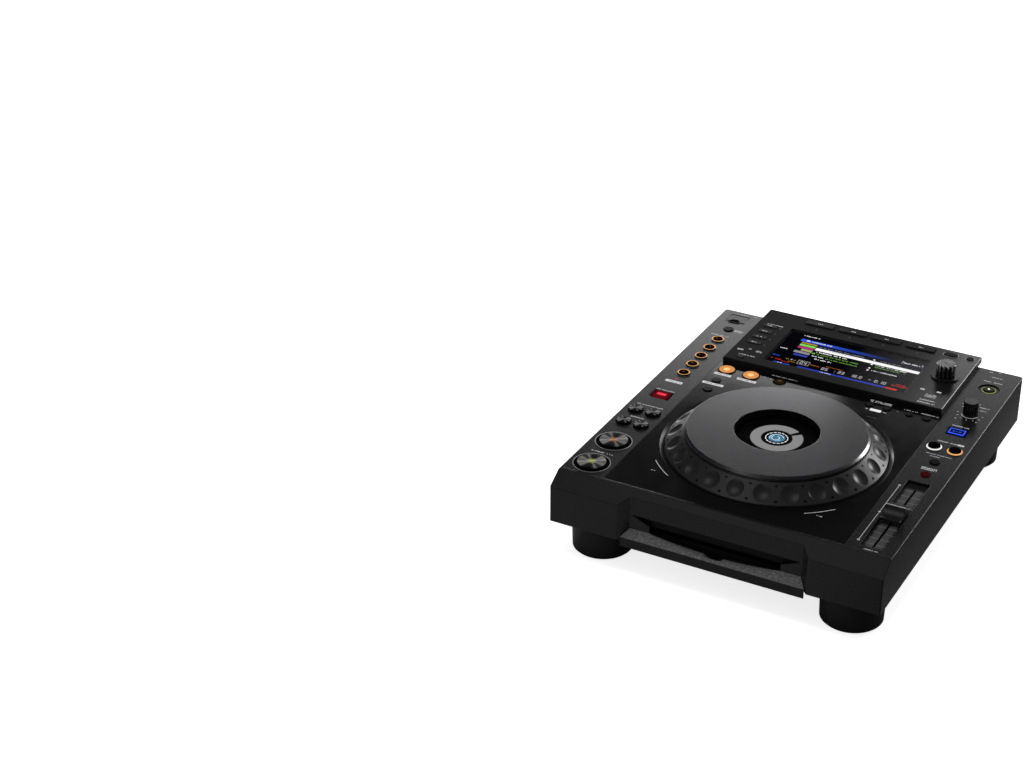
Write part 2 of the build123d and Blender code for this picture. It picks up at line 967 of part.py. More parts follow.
# Dimpled ring of the jog wheel, with its hub and web
slope = math.hypot(ring_radius - ring_neck, plate_seat - ring_edge)
slope_out = (plate_seat - ring_edge) / slope
slope_up = (ring_radius - ring_neck) / slope
dimple_ball = ((dimple_width / 2) ** 2 + dimple_depth**2) / (2 * dimple_depth)
dimple_lift = dimple_ball - dimple_depth
dimple_plane = Plane(
    (0, at(jog_distance), (ring_edge + plate_seat) / 2 + slope_up * dimple_lift)
)
with BuildPart() as jog_ring:
    with BuildSketch(jog_section):
        with BuildLine():
            Polyline(
                (post_radius + running_fit, pan_floor + pan_sheet),
                (hub_radius, pan_floor + pan_sheet),
                (hub_radius, ring_floor),
                (ring_radius - ring_wall / 2, ring_floor),
                (ring_radius, ring_floor + ring_wall / 2),
                (ring_radius, ring_edge),
                (ring_neck, plate_seat),
                (plate_radius - plate_seat_width, plate_seat),
                (plate_radius - plate_seat_width, plate_seat - ring_wall),
                (ring_neck - ring_wall, plate_seat - ring_wall),
                (ring_radius - ring_wall, ring_edge - ring_web),
                (ring_radius - ring_wall, ring_floor + ring_web),
                (post_radius + running_fit, ring_floor + ring_web),
                close=True,
            )
        make_face()
    revolve(axis=jog_axis)
    with Locations(dimple_plane):
        with PolarLocations(
            (ring_radius + ring_neck) / 2 + slope_out * dimple_lift, dimple_count
        ):
            Sphere(dimple_ball, mode=Mode.SUBTRACT)
save(jog_ring, "jog_ring")

# Metal-faced plate of the jog wheel, with the tube round the screen
with BuildPart() as jog_plate:
    with BuildSketch(jog_section):
        with BuildLine():
            Polyline(
                (eye_radius, post_top + seat_gap),
                (eye_radius + eye_wall, post_top + seat_gap),
                (eye_radius + eye_wall, plate_top - plate_skin),
                (plate_radius - plate_seat_width, plate_top - plate_skin),
                (plate_radius - plate_seat_width, plate_seat),
                (plate_radius, plate_seat),
                (plate_radius, plate_top - plate_bevel),
                (plate_radius - plate_bevel, plate_top),
                (eye_radius, plate_top),
                close=True,
            )
        make_face()
    revolve(axis=jog_axis)
save(jog_plate, "jog_plate")

# Speed knob with its shaft and clip
with BuildPart() as speed_knob:
    with BuildSketch(Plane.XY.offset(deck_height + gap)):
        with Locations((column, at(speed_distance))):
            Circle(speed_radius)
            with PolarLocations(speed_radius, flute_count):
                Circle(flute_radius, mode=Mode.SUBTRACT)
    extrude(amount=speed_top - deck_height - gap)
    with BuildSketch(Plane.XY.offset(skin_bottom - knob_bush_length)):
        with Locations((column, at(speed_distance))):
            Circle(knob_shaft)
    extrude(amount=wall + knob_bush_length + gap)
    with BuildSketch(Plane.XY.offset(skin_bottom - knob_bush_length)):
        with Locations((column, at(speed_distance))):
            Circle(knob_clip)
    extrude(amount=-knob_clip_thickness)
save(speed_knob, "speed_knob")

# Floor of the fader recess, with the slide channel below it
fader_middle = (fader_front + fader_back) / 2
slot_middle = (fader_slot_front + fader_slot_back) / 2
slot_length = fader_slot_back - fader_slot_front
with BuildPart() as fader_scale:
    with BuildSketch(Plane.XY.offset(skin_bottom)):
        with Locations((column, at(fader_middle))):
            Rectangle(
                fader_width + 2 * fader_margin,
                fader_back - fader_front + 2 * fader_margin,
            )
    extrude(amount=-fader_plate)
    with BuildSketch(Plane.XY.offset(skin_bottom - fader_plate)):
        with Locations((column, at(slot_middle))):
            Rectangle(
                fader_body_width,
                slot_length + fader_carriage_length + 2 * fader_body_wall,
            )
    extrude(amount=-fader_body_height)
    with BuildSketch(Plane.XY.offset(skin_bottom - fader_plate - fader_lip_height)):
        with Locations((column, at(slot_middle))):
            Rectangle(
                fader_body_width - 2 * fader_body_wall,
                slot_length + fader_carriage_length,
            )
    extrude(
        amount=-(fader_body_height - fader_lip_height - fader_body_wall),
        mode=Mode.SUBTRACT,
    )
    with BuildSketch(Plane.XY.offset(skin_bottom)):
        with Locations((column, at(slot_middle))):
            Rectangle(fader_slot, slot_length)
    extrude(amount=-fader_plate - fader_lip_height, mode=Mode.SUBTRACT)
save(fader_scale, "fader_scale")

# Fader cap, with its neck, its stem and the carriage in the channel
carriage_top = skin_bottom - fader_plate - fader_lip_height - gap
with BuildPart() as fader_cap:
    with BuildSketch(Plane.YZ.offset(column - fader_cap_width / 2)):
        with BuildLine():
            Polyline(
                (at(slot_middle) - fader_ridge / 2, fader_cap_top),
                (at(slot_middle) + fader_ridge / 2, fader_cap_top),
            )
            ThreePointArc(
                (at(slot_middle) + fader_ridge / 2, fader_cap_top),
                (at(slot_middle) + fader_cap_waist_y, fader_cap_waist),
                (at(slot_middle) + fader_cap_length / 2, fader_cap_edge),
            )
            Polyline(
                (at(slot_middle) + fader_cap_length / 2, fader_cap_edge),
                (at(slot_middle) + fader_cap_length / 2, deck_height + gap),
                (at(slot_middle) - fader_cap_length / 2, deck_height + gap),
                (at(slot_middle) - fader_cap_length / 2, fader_cap_edge),
            )
            ThreePointArc(
                (at(slot_middle) - fader_cap_length / 2, fader_cap_edge),
                (at(slot_middle) - fader_cap_waist_y, fader_cap_waist),
                (at(slot_middle) - fader_ridge / 2, fader_cap_top),
            )
        make_face()
    extrude(amount=fader_cap_width)
    with BuildSketch(Plane.XY.offset(skin_bottom + gap)):
        with Locations((column, at(slot_middle))):
            Rectangle(fader_cap_width, fader_neck_length)
    extrude(amount=deck_height - skin_bottom)
    with BuildSketch(Plane.XY.offset(carriage_top)):
        with Locations((column, at(slot_middle))):
            Rectangle(fader_stem, fader_stem_length)
    extrude(amount=skin_bottom + gap - carriage_top)
    with BuildSketch(Plane.XY.offset(carriage_top)):
        with Locations((column, at(slot_middle))):
            Rectangle(
                fader_body_width - 2 * fader_body_wall - 2 * gap,
                fader_carriage_length,
            )
    extrude(amount=-fader_carriage_height)
save(fader_cap, "fader_cap")

# USB socket under its lid
with BuildPart() as usb_socket:
    with BuildSketch(Plane.XY.offset(skin_bottom)):
        with Locations(((lid_left + lid_right) / 2, at((lid_front + lid_back) / 2))):
            Rectangle(
                lid_right - lid_left + 2 * usb_flange,
                lid_back - lid_front + 2 * usb_flange,
            )
    extrude(amount=-usb_wall)
    with BuildSketch(Plane.XY.offset(skin_bottom)):
        with Locations(((lid_left + lid_right) / 2, at((lid_front + lid_back) / 2))):
            Rectangle(usb_port_length + 2 * usb_wall, usb_port_width + 2 * usb_wall)
    extrude(amount=-usb_depth - usb_wall)
    with BuildSketch(Plane.XY.offset(skin_bottom)):
        with Locations(((lid_left + lid_right) / 2, at((lid_front + lid_back) / 2))):
            Rectangle(usb_port_length, usb_port_width)
    extrude(amount=-usb_depth, mode=Mode.SUBTRACT)
save(usb_socket, "usb_socket")

# Lid that hinges up at its rear edge
with BuildPart() as usb_lid:
    with BuildSketch(Plane.YZ.offset(lid_left)):
        with BuildLine():
            Polyline(
                (at(lid_back - lid_barrel), deck_height),
                (at(lid_front), deck_height),
                (at(lid_front), deck_height - lid_thickness),
                (at(lid_back - lid_barrel), deck_height - lid_thickness),
                close=True,
            )
        make_face()
        with Locations((at(lid_back - lid_barrel), deck_height - lid_barrel)):
            Circle(lid_barrel)
    extrude(amount=lid_right - lid_left)
    with BuildSketch(Plane.YZ.offset(lid_left - gap - lid_pin_length)):
        with Locations((at(lid_back - lid_barrel), deck_height - lid_barrel)):
            Circle(lid_pin)
    extrude(amount=lid_right - lid_left + 2 * (gap + lid_pin_length))
save(usb_lid, "usb_lid")

# Raised housing of the main display, which reaches out behind the deck
total_depth = deck_depth + overhang
source_spots = [
    (source_x, at(source_first - index * source_pitch)) for index in range(4)
]
menu_spots = [((index - 1.5) * menu_pitch, at(menu_distance)) for index in range(4)]
with BuildPart() as display_housing:
    with BuildSketch(Plane.XY.offset(deck_height)):
        with Locations((0, at((panel_back + total_depth) / 2))):
            Rectangle(2 * housing_half, total_depth - panel_back)
    extrude(amount=housing_height)
    chamfer(display_housing.faces().sort_by(Axis.Z)[-1].edges(), housing_break)
    with BuildSketch(Plane.XY.offset(deck_height + housing_floor)):
        with Locations((0, at((panel_back + total_depth) / 2))):
            Rectangle(
                2 * (housing_half - housing_wall),
                total_depth - panel_back - 2 * housing_wall,
            )
    extrude(amount=housing_height - housing_floor - housing_skin, mode=Mode.SUBTRACT)
    with BuildSketch(Plane.XY.offset(deck_height)):
        with Locations((0, at((well_front + well_back) / 2))):
            Rectangle(2 * well_half, well_back - well_front)
    extrude(amount=housing_floor, mode=Mode.SUBTRACT)
    # Pocket and opening of the window
    window_spot = (
        (window_left + window_right) / 2,
        at((window_front + window_back) / 2),
    )
    with BuildSketch(Plane.XY.offset(housing_top)):
        with Locations(window_spot):
            Rectangle(window_right - window_left, window_back - window_front)
    extrude(amount=-window_thickness, mode=Mode.SUBTRACT)
    with BuildSketch(Plane.XY.offset(housing_top)):
        with Locations(window_spot):
            Rectangle(
                window_right - window_left - 2 * window_ledge,
                window_back - window_front - 2 * window_ledge,
            )
    extrude(amount=-housing_skin, mode=Mode.SUBTRACT)
    # Key holes
    with BuildSketch(Plane.XY.offset(housing_top)):
        with Locations(*menu_spots):
            RectangleRounded(menu_length + 2 * gap, menu_width + 2 * gap, menu_corner)
        with Locations(*source_spots):
            RectangleRounded(
                source_length + 2 * gap, source_width + 2 * gap, source_corner
            )
        with Locations((source_x, at(utility_distance))):
            Circle(utility_radius + gap)
        with Locations((back_x, at(menu_distance))):
            SlotOverall(back_length + 2 * gap, back_width + 2 * gap)
        with Locations((tag_x, at(menu_distance))):
            Circle(tag_radius + gap)
    extrude(amount=-housing_skin, mode=Mode.SUBTRACT)
    # Collar and bush of the selector
    with BuildSketch(Plane.XY.offset(housing_top)):
        with Locations((selector_x, at(selector_distance))):
            Circle(collar_radius)
    extrude(amount=collar_height)
    with BuildSketch(Plane.XY.offset(housing_under)):
        with Locations((selector_x, at(selector_distance))):
            Circle(knob_bush)
    extrude(amount=selector_clip_height + knob_clip_thickness - housing_under)
    with BuildSketch(Plane.XY.offset(housing_top + collar_height)):
        with Locations((selector_x, at(selector_distance))):
            Circle(knob_shaft + running_fit)
    extrude(amount=selector_clip_height - housing_top, mode=Mode.SUBTRACT)
save(display_housing, "display_housing")

# Clear window over the display
with BuildPart() as display_window:
    with BuildSketch(Plane.XY.offset(housing_top)):
        with Locations(window_spot):
            Rectangle(
                window_right - window_left - 2 * panel_fit,
                window_back - window_front - 2 * panel_fit,
            )
    extrude(amount=-window_thickness)
save(display_window, "display_window")

# Display module, held against the underside of the window frame
with BuildPart() as lcd_module:
    with BuildSketch(Plane.XY.offset(lcd_bottom)):
        with Locations(window_spot):
            Rectangle(
                window_right - window_left + 2 * lcd_border,
                window_back - window_front + 2 * lcd_border,
            )
    extrude(amount=housing_under - lcd_bottom)
save(lcd_module, "lcd_module")

# Menu keys, moulded as one strip
with BuildPart() as menu_keys:
    with BuildSketch(Plane.XY.offset(housing_under - flange_thickness)):
        with Locations((0, at(menu_distance))):
            Rectangle(
                3 * menu_pitch + menu_length + 2 * flange, menu_width + 2 * flange
            )
    extrude(amount=flange_thickness)
    with BuildSketch(Plane.XY.offset(housing_under)):
        with Locations(*menu_spots):
            RectangleRounded(menu_length, menu_width, menu_corner)
    extrude(amount=housing_skin + menu_rise)
    fillet(menu_keys.edges().group_by(Axis.Z)[-1], cap_round / 2)
save(menu_keys, "menu_keys")

# Source keys and the round key below them, moulded as one strip
with BuildPart() as source_keys:
    with BuildSketch(Plane.XY.offset(housing_under - flange_thickness)):
        strip_front = utility_distance - utility_radius - flange
        strip_back = source_first + source_width / 2 + flange
        with Locations((source_x, at((strip_front + strip_back) / 2))):
            Rectangle(source_length + 2 * flange, strip_back - strip_front)
    extrude(amount=flange_thickness)
    with BuildSketch(Plane.XY.offset(housing_under)):
        with Locations(*source_spots):
            RectangleRounded(source_length, source_width, source_corner)
        with Locations((source_x, at(utility_distance))):
            Circle(utility_radius)
    extrude(amount=housing_skin + source_rise)
save(source_keys, "source_keys")

# Back and tag buttons beside the selector
flanged_button(
    "back_button",
    lambda margin: SlotOverall(back_length + 2 * margin, back_width + 2 * margin),
    (back_x, at(menu_distance)),
    small_rise,
    housing_top,
    housing_skin,
)
flanged_button(
    "tag_button",
    disc_outline(tag_radius),
    (tag_x, at(menu_distance)),
    small_rise,
    housing_top,
    housing_skin,
)

# Shaft of the selector, which can be pressed
shaft_top = selector_top - selector_skin
with BuildPart() as selector_shaft:
    with BuildSketch(Plane.XY.offset(selector_clip_height)):
        with Locations((selector_x, at(selector_distance))):
            Circle(knob_clip)
    extrude(amount=knob_clip_thickness)
    with BuildSketch(Plane.XY.offset(selector_clip_height + knob_clip_thickness)):
        with Locations((selector_x, at(selector_distance))):
            Circle(knob_shaft)
    extrude(amount=shaft_top - selector_clip_height - knob_clip_thickness)
save(selector_shaft, "selector_shaft")

# Fluted selector knob, which turns on the shaft
selector_bottom = housing_top + collar_height + selector_lift
with BuildPart() as selector_knob:
    with BuildSketch(Plane.XY.offset(selector_bottom)):
        with Locations((selector_x, at(selector_distance))):
            Circle(selector_radius)
    extrude(amount=selector_top - selector_bottom)
    chamfer(selector_knob.edges().group_by(Axis.Z)[-1], knob_chamfer)
    with BuildSketch(Plane.XY.offset(selector_bottom)):
        with Locations((selector_x, at(selector_distance))):
            with PolarLocations(selector_radius, flute_count):
                Circle(flute_radius)
    extrude(
        amount=selector_top - selector_bottom - 2 * knob_chamfer, mode=Mode.SUBTRACT
    )
    with BuildSketch(Plane.XY.offset(selector_bottom)):
        with Locations((selector_x, at(selector_distance))):
            Circle(knob_shaft + running_fit)
    extrude(amount=shaft_top - selector_bottom, mode=Mode.SUBTRACT)
save(selector_knob, "selector_knob")

# Rear panel in three plates, with the holes of their sockets
with BuildPart() as rear_panel:
    with BuildSketch(Plane.XZ.offset(-at(rear_face))):
        with Locations((0, (rear_panel_bottom + rear_panel_top) / 2)):
            Rectangle(2 * rear_panel_half, rear_panel_top - rear_panel_bottom)
        with Locations((inlet_x, socket_height)):
            Rectangle(
                inlet_length + 2 * seat_gap,
                inlet_width + 2 * seat_gap,
                mode=Mode.SUBTRACT,
            )
        with Locations((lan_x, socket_height)):
            Rectangle(
                lan_length + 2 * seat_gap, lan_width + 2 * seat_gap, mode=Mode.SUBTRACT
            )
        with Locations((usb_device_x, socket_height)):
            Rectangle(
                usb_device_length + 2 * seat_gap,
                usb_device_width + 2 * seat_gap,
                mode=Mode.SUBTRACT,
            )
        with Locations((jack_x, socket_height)):
            Circle(jack_radius + seat_gap, mode=Mode.SUBTRACT)
        for x in phono_x:
            with Locations((x, socket_height)):
                Circle(phono_radius + seat_gap, mode=Mode.SUBTRACT)
        with Locations((power_x, socket_height)):
            Rectangle(
                power_length + 2 * gap, power_width + 2 * gap, mode=Mode.SUBTRACT
            )
        for x in rear_panel_joints:
            with Locations((x, socket_height)):
                Rectangle(
                    rear_panel_joint,
                    2 * (rear_panel_top - rear_panel_bottom),
                    mode=Mode.SUBTRACT,
                )
    extrude(amount=sheet)
save(rear_panel, "rear_panel")

# Mains inlet with three blades
with BuildPart() as ac_inlet:
    with BuildSketch(Plane.XZ.offset(-at(rear_face + socket_reach))):
        with Locations((inlet_x, socket_height)):
            Rectangle(inlet_length + 2 * inlet_flange, inlet_width + 2 * inlet_flange)
    extrude(amount=socket_reach)
    with BuildSketch(Plane.XZ.offset(-at(rear_face))):
        with Locations((inlet_x, socket_height)):
            Rectangle(inlet_length, inlet_width)
    extrude(amount=inlet_back)
    with BuildSketch(Plane.XZ.offset(-at(rear_face + socket_reach))):
        with Locations((inlet_x, socket_height)):
            Rectangle(inlet_mouth_length, inlet_mouth_width)
    extrude(amount=inlet_depth, mode=Mode.SUBTRACT)
    with BuildSketch(Plane.XZ.offset(-at(rear_face + socket_reach - inlet_depth))):
        with Locations((inlet_x, socket_height)):
            with Locations((-inlet_pin_pitch, 0), (0, 0), (inlet_pin_pitch, 0)):
                Rectangle(inlet_pin_width, inlet_pin_length)
    extrude(amount=inlet_pin_recess - inlet_depth)
save(ac_inlet, "ac_inlet")


# Rectangular sockets: place, body, mouth and depth of the mouth
square_sockets = [
    (lan_x, (lan_length, lan_width), (lan_mouth_length, lan_mouth_width), lan_depth),
    (
        usb_device_x,
        (usb_device_length, usb_device_width),
        (usb_device_mouth_length, usb_device_mouth_width),
        usb_device_depth,
    ),
]

# Network, computer, remote, digital and line sockets in a row
with BuildPart() as rear_sockets:
    for x, body, mouth, depth in square_sockets:
        with BuildSketch(Plane.XZ.offset(-at(rear_face + socket_reach))):
            with Locations((x, socket_height)):
                Rectangle(body[0], body[1])
        extrude(amount=socket_back + socket_reach)
        with BuildSketch(Plane.XZ.offset(-at(rear_face - sheet))):
            with Locations((x, socket_height)):
                Rectangle(body[0] + 2 * flange, body[1] + 2 * flange)
        extrude(amount=socket_back - sheet)
        with BuildSketch(Plane.XZ.offset(-at(rear_face + socket_reach))):
            with Locations((x, socket_height)):
                Rectangle(mouth[0], mouth[1])
        extrude(amount=depth, mode=Mode.SUBTRACT)
    with BuildSketch(Plane.XZ.offset(-at(rear_face + socket_reach - usb_device_depth))):
        with Locations((usb_device_x, socket_height)):
            Rectangle(usb_tongue_length, usb_tongue_width)
    extrude(amount=usb_tongue_recess - usb_device_depth)
    with BuildSketch(Plane.XZ.offset(-at(rear_face + socket_reach))):
        with Locations((jack_x, socket_height)):
            Circle(jack_radius)
    extrude(amount=socket_back + socket_reach)
    with BuildSketch(Plane.XZ.offset(-at(rear_face - sheet))):
        with Locations((jack_x, socket_height)):
            Circle(jack_radius + flange)
    extrude(amount=socket_back - sheet)
    with BuildSketch(Plane.XZ.offset(-at(rear_face + socket_reach))):
        with Locations((jack_x, socket_height)):
            Circle(jack_bore)
    extrude(amount=jack_depth, mode=Mode.SUBTRACT)
    for x in phono_x:
        with BuildSketch(Plane.XZ.offset(-at(rear_face + phono_reach))):
            with Locations((x, socket_height)):
                Circle(phono_radius)
        extrude(amount=phono_reach + socket_back)
        with BuildSketch(Plane.XZ.offset(-at(rear_face + socket_reach / 2))):
            with Locations((x, socket_height)):
                Circle(phono_flange)
        extrude(amount=socket_reach / 2)
        with BuildSketch(Plane.XZ.offset(-at(rear_face + phono_reach))):
            with Locations((x, socket_height)):
                Circle(phono_bore)
        extrude(amount=phono_depth, mode=Mode.SUBTRACT)
save(rear_sockets, "rear_sockets")

# Power button
with BuildPart() as power_button:
    with BuildSketch(Plane.XZ.offset(-at(rear_face + power_reach))):
        with Locations((power_x, socket_height)):
            Rectangle(power_length, power_width)
    extrude(amount=power_reach + sheet)
    fillet(power_button.faces().sort_by(Axis.Y)[-1].edges(), cap_round)
    with BuildSketch(Plane.XZ.offset(-at(rear_face - sheet))):
        with Locations((power_x, socket_height)):
            Rectangle(power_length + 2 * power_flange, power_width + 2 * power_flange)
    extrude(amount=power_flange)
save(power_button, "power_button")

# Frame of the disc drive, with its motor, rods and lugs
sled_bottom = drive_plate_top + sled_lift
with BuildPart() as drive_frame:
    with BuildSketch(Plane.XY.offset(drive_plate_bottom)):
        with Locations((0, at((drive_front + drive_back) / 2))):
            Rectangle(2 * drive_half, drive_back - drive_front)
    extrude(amount=drive_plate_top - drive_plate_bottom)
    with BuildSketch(Plane.XY.offset(floor_top)):
        for distance in (drive_front + drive_leg_inset, drive_back - drive_leg_inset):
            with Locations((-drive_leg_x, at(distance)), (drive_leg_x, at(distance))):
                Circle(drive_leg_radius)
    extrude(amount=drive_plate_bottom - floor_top)
    with BuildSketch(Plane.XY.offset(motor_bottom)):
        with Locations((0, at(spindle_distance))):
            Circle(motor_radius)
    extrude(amount=drive_plate_bottom - motor_bottom)
    with BuildSketch(Plane.XY.offset(drive_plate_top)):
        with Locations((0, at(spindle_distance))):
            Circle(spindle_radius + running_fit)
    extrude(amount=motor_bottom + sheet - drive_plate_top, mode=Mode.SUBTRACT)
    # Rods of the pickup and the lugs at their ends
    with BuildSketch(Plane.XY.offset(drive_plate_top)):
        for distance in (rod_front, rod_back):
            with Locations((-rod_x, at(distance)), (rod_x, at(distance))):
                Rectangle(2 * lug_half, lug_length)
    extrude(amount=lug_top - drive_plate_top)
    with BuildSketch(Plane.XZ.offset(-at(rod_back))):
        with Locations((-rod_x, rod_height), (rod_x, rod_height)):
            Circle(rod_radius)
    extrude(amount=rod_back - rod_front)
    # Lugs of the feed roller
    with BuildSketch(Plane.XY.offset(drive_plate_top)):
        lug_x = (roller_lug_inner + roller_lug_outer) / 2
        with Locations(
            (-lug_x, at(roller_distance)), (lug_x, at(roller_distance))
        ):
            Rectangle(roller_lug_outer - roller_lug_inner, 2 * roller_radius - gap)
    extrude(amount=roller_lug_top - drive_plate_top)
    with BuildSketch(Plane.YZ.offset(-roller_lug_outer)):
        with Locations((at(roller_distance), roller_height)):
            Circle(roller_shaft + running_fit)
    extrude(amount=2 * roller_lug_outer, mode=Mode.SUBTRACT)
save(drive_frame, "drive_frame")

# Turntable and centring cone on the motor's spindle
with BuildPart() as spindle:
    with BuildSketch(Plane.XY.offset(motor_bottom + sheet + seat_gap)):
        with Locations((0, at(spindle_distance))):
            Circle(spindle_radius)
    extrude(amount=drive_plate_top + turntable_lift - motor_bottom - sheet - seat_gap)
    with BuildSketch(Plane.XY.offset(drive_plate_top + turntable_lift)):
        with Locations((0, at(spindle_distance))):
            Circle(turntable_radius)
    extrude(amount=turntable_top - drive_plate_top - turntable_lift)
    with BuildSketch(Plane.XY.offset(turntable_top)):
        with Locations((0, at(spindle_distance))):
            Circle(cone_radius)
    extrude(amount=cone_top - turntable_top)
    chamfer(spindle.edges().group_by(Axis.Z)[-1], cap_round)
save(spindle, "spindle")

# Pickup sled, which slides on the two rods
with BuildPart() as pickup_sled:
    with BuildSketch(Plane.XY.offset(sled_bottom)):
        with Locations((0, at(sled_front + sled_length / 2))):
            Rectangle(2 * sled_half, sled_length)
    extrude(amount=lug_top - sled_bottom)
    with BuildSketch(Plane.XZ.offset(-at(sled_front + sled_length))):
        with Locations((-rod_x, rod_height), (rod_x, rod_height)):
            Circle(rod_radius + running_fit)
    extrude(amount=sled_length, mode=Mode.SUBTRACT)
    with BuildSketch(Plane.XY.offset(lug_top)):
        with Locations((0, at(sled_front + sled_length / 2))):
            Circle(lens_radius)
    extrude(amount=lens_rise)
save(pickup_sled, "pickup_sled")

# Rubber roller that draws the disc in
with BuildPart() as feed_roller:
    with BuildSketch(Plane.YZ.offset(-roller_half)):
        with Locations((at(roller_distance), roller_height)):
            Circle(roller_radius)
    extrude(amount=2 * roller_half)
    with BuildSketch(Plane.YZ.offset(-roller_lug_outer)):
        with Locations((at(roller_distance), roller_height)):
            Circle(roller_shaft)
    extrude(amount=2 * roller_lug_outer)
save(feed_roller, "feed_roller")

# Main circuit board with its larger chips, and the power supply board
supply_middle = (
    (supply_left + supply_right) / 2,
    at((supply_front + supply_back) / 2),
)
with BuildPart() as circuit_boards:
    with BuildSketch(Plane.XY.offset(board_bottom)):
        with Locations(
            ((board_left + board_right) / 2, at((board_front + board_back) / 2))
        ):
            Rectangle(board_right - board_left, board_back - board_front)
    extrude(amount=board_thickness)
    with BuildSketch(Plane.XY.offset(board_bottom + board_thickness)):
        with Locations(*[(x, at(distance)) for x, distance in large_chip_spots]):
            Rectangle(large_chip, large_chip)
        with Locations(*[(x, at(distance)) for x, distance in small_chip_spots]):
            Rectangle(small_chip[0], small_chip[1])
    extrude(amount=chip_height)
    # Power supply board with its posts, transformer and capacitors
    with BuildSketch(Plane.XY.offset(supply_bottom)):
        with Locations(supply_middle):
            Rectangle(supply_right - supply_left, supply_back - supply_front)
    extrude(amount=board_thickness)
    with BuildSketch(Plane.XY.offset(floor_top)):
        with Locations(supply_middle):
            with GridLocations(
                supply_right - supply_left - 2 * supply_post_inset,
                supply_back - supply_front - 2 * supply_post_inset,
                2,
                2,
            ):
                Circle(board_post_radius)
    extrude(amount=supply_bottom - floor_top)
    with BuildSketch(Plane.XY.offset(supply_bottom + board_thickness)):
        with Locations(supply_middle):
            Rectangle(transformer_size[0], transformer_size[1])
    extrude(amount=transformer_size[2])
    with BuildSketch(Plane.XY.offset(supply_bottom + board_thickness)):
        with Locations(supply_middle):
            with GridLocations(
                supply_right - supply_left - 4 * supply_post_inset,
                supply_back - supply_front - 4 * supply_post_inset,
                2,
                2,
            ):
                Circle(capacitor_radius)
    extrude(amount=capacitor_height)
save(circuit_boards, "circuit_boards")
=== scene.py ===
import json
import math
import random

import bmesh
import bpy
from mathutils import Matrix, Vector


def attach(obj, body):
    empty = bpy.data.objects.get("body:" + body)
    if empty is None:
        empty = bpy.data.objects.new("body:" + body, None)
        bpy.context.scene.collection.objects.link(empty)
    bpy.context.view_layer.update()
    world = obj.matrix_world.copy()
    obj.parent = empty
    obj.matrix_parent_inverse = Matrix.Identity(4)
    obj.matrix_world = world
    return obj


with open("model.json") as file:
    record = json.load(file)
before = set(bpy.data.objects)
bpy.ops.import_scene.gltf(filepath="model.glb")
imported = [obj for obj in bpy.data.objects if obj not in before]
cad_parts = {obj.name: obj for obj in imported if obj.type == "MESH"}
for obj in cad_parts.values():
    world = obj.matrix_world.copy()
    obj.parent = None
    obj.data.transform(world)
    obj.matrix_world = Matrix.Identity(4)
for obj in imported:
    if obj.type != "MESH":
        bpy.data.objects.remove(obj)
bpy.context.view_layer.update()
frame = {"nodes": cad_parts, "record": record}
nodes = frame["nodes"]

# Places are in millimetres: x across, d back from the front edge of the case, z up.
FRONT = -192.5

# The two columns of buttons lie this far left and right of the middle.
COLUMN = 131.5

# Heights of the surfaces that carry prints and lights
DECK = 77.5
HOUSING = 83.1
SCREEN_BACK = 80.9
SCREEN = 81.4
EYE = 87.5
LID_TOP = 77.5
EJECT_TOP = 77.9
LIT_KEY_TOP = 78.0
LOOP_TOP = 79.0
HOT_CUE_TOP = 79.3
SOURCE_KEY_TOP = 83.7
MENU_KEY_TOP = 84.3
FADER_FLOOR = 74.5
FADER_TOP = 86.5

# Places of controls: both x and d, x alone, or d alone with BACK in its name, and spacings
JOG = (0.0, 139.9)
SELECTOR = (84.3, 330.8)
SPEED_KNOB = (COLUMN, 280.9)
EJECT = (COLUMN, 335.8)
CUE_BACK = 81.4
PLAY_BACK = 38.3
JOG_MODE_BACK = 243.6
DIRECTION_BACK = 180.6
HOT_CUE_BACK = 307.9
HOT_CUE_PITCH = 19.7
LOOP_IN_X = -97.9
LOOP_OUT_X = -73.4
RELOOP_X = -45.1
MENU_X = -51.6
MENU_PITCH = 34.4
SOURCE_BACK = 348.4
SOURCE_PITCH = 13.2
REAR_KEYS_BACK = 374.5
FADER_LINE_X = 118.0

# A print stands this much above its surface and reaches this much into it.
PRINT_LIFT = 0.05
PRINT_SINK = 0.03


def spot(x, d, z):
    """The place in metres of a point given in millimetres."""
    return Vector((x / 1000, (FRONT + d) / 1000, z / 1000))


# Materials


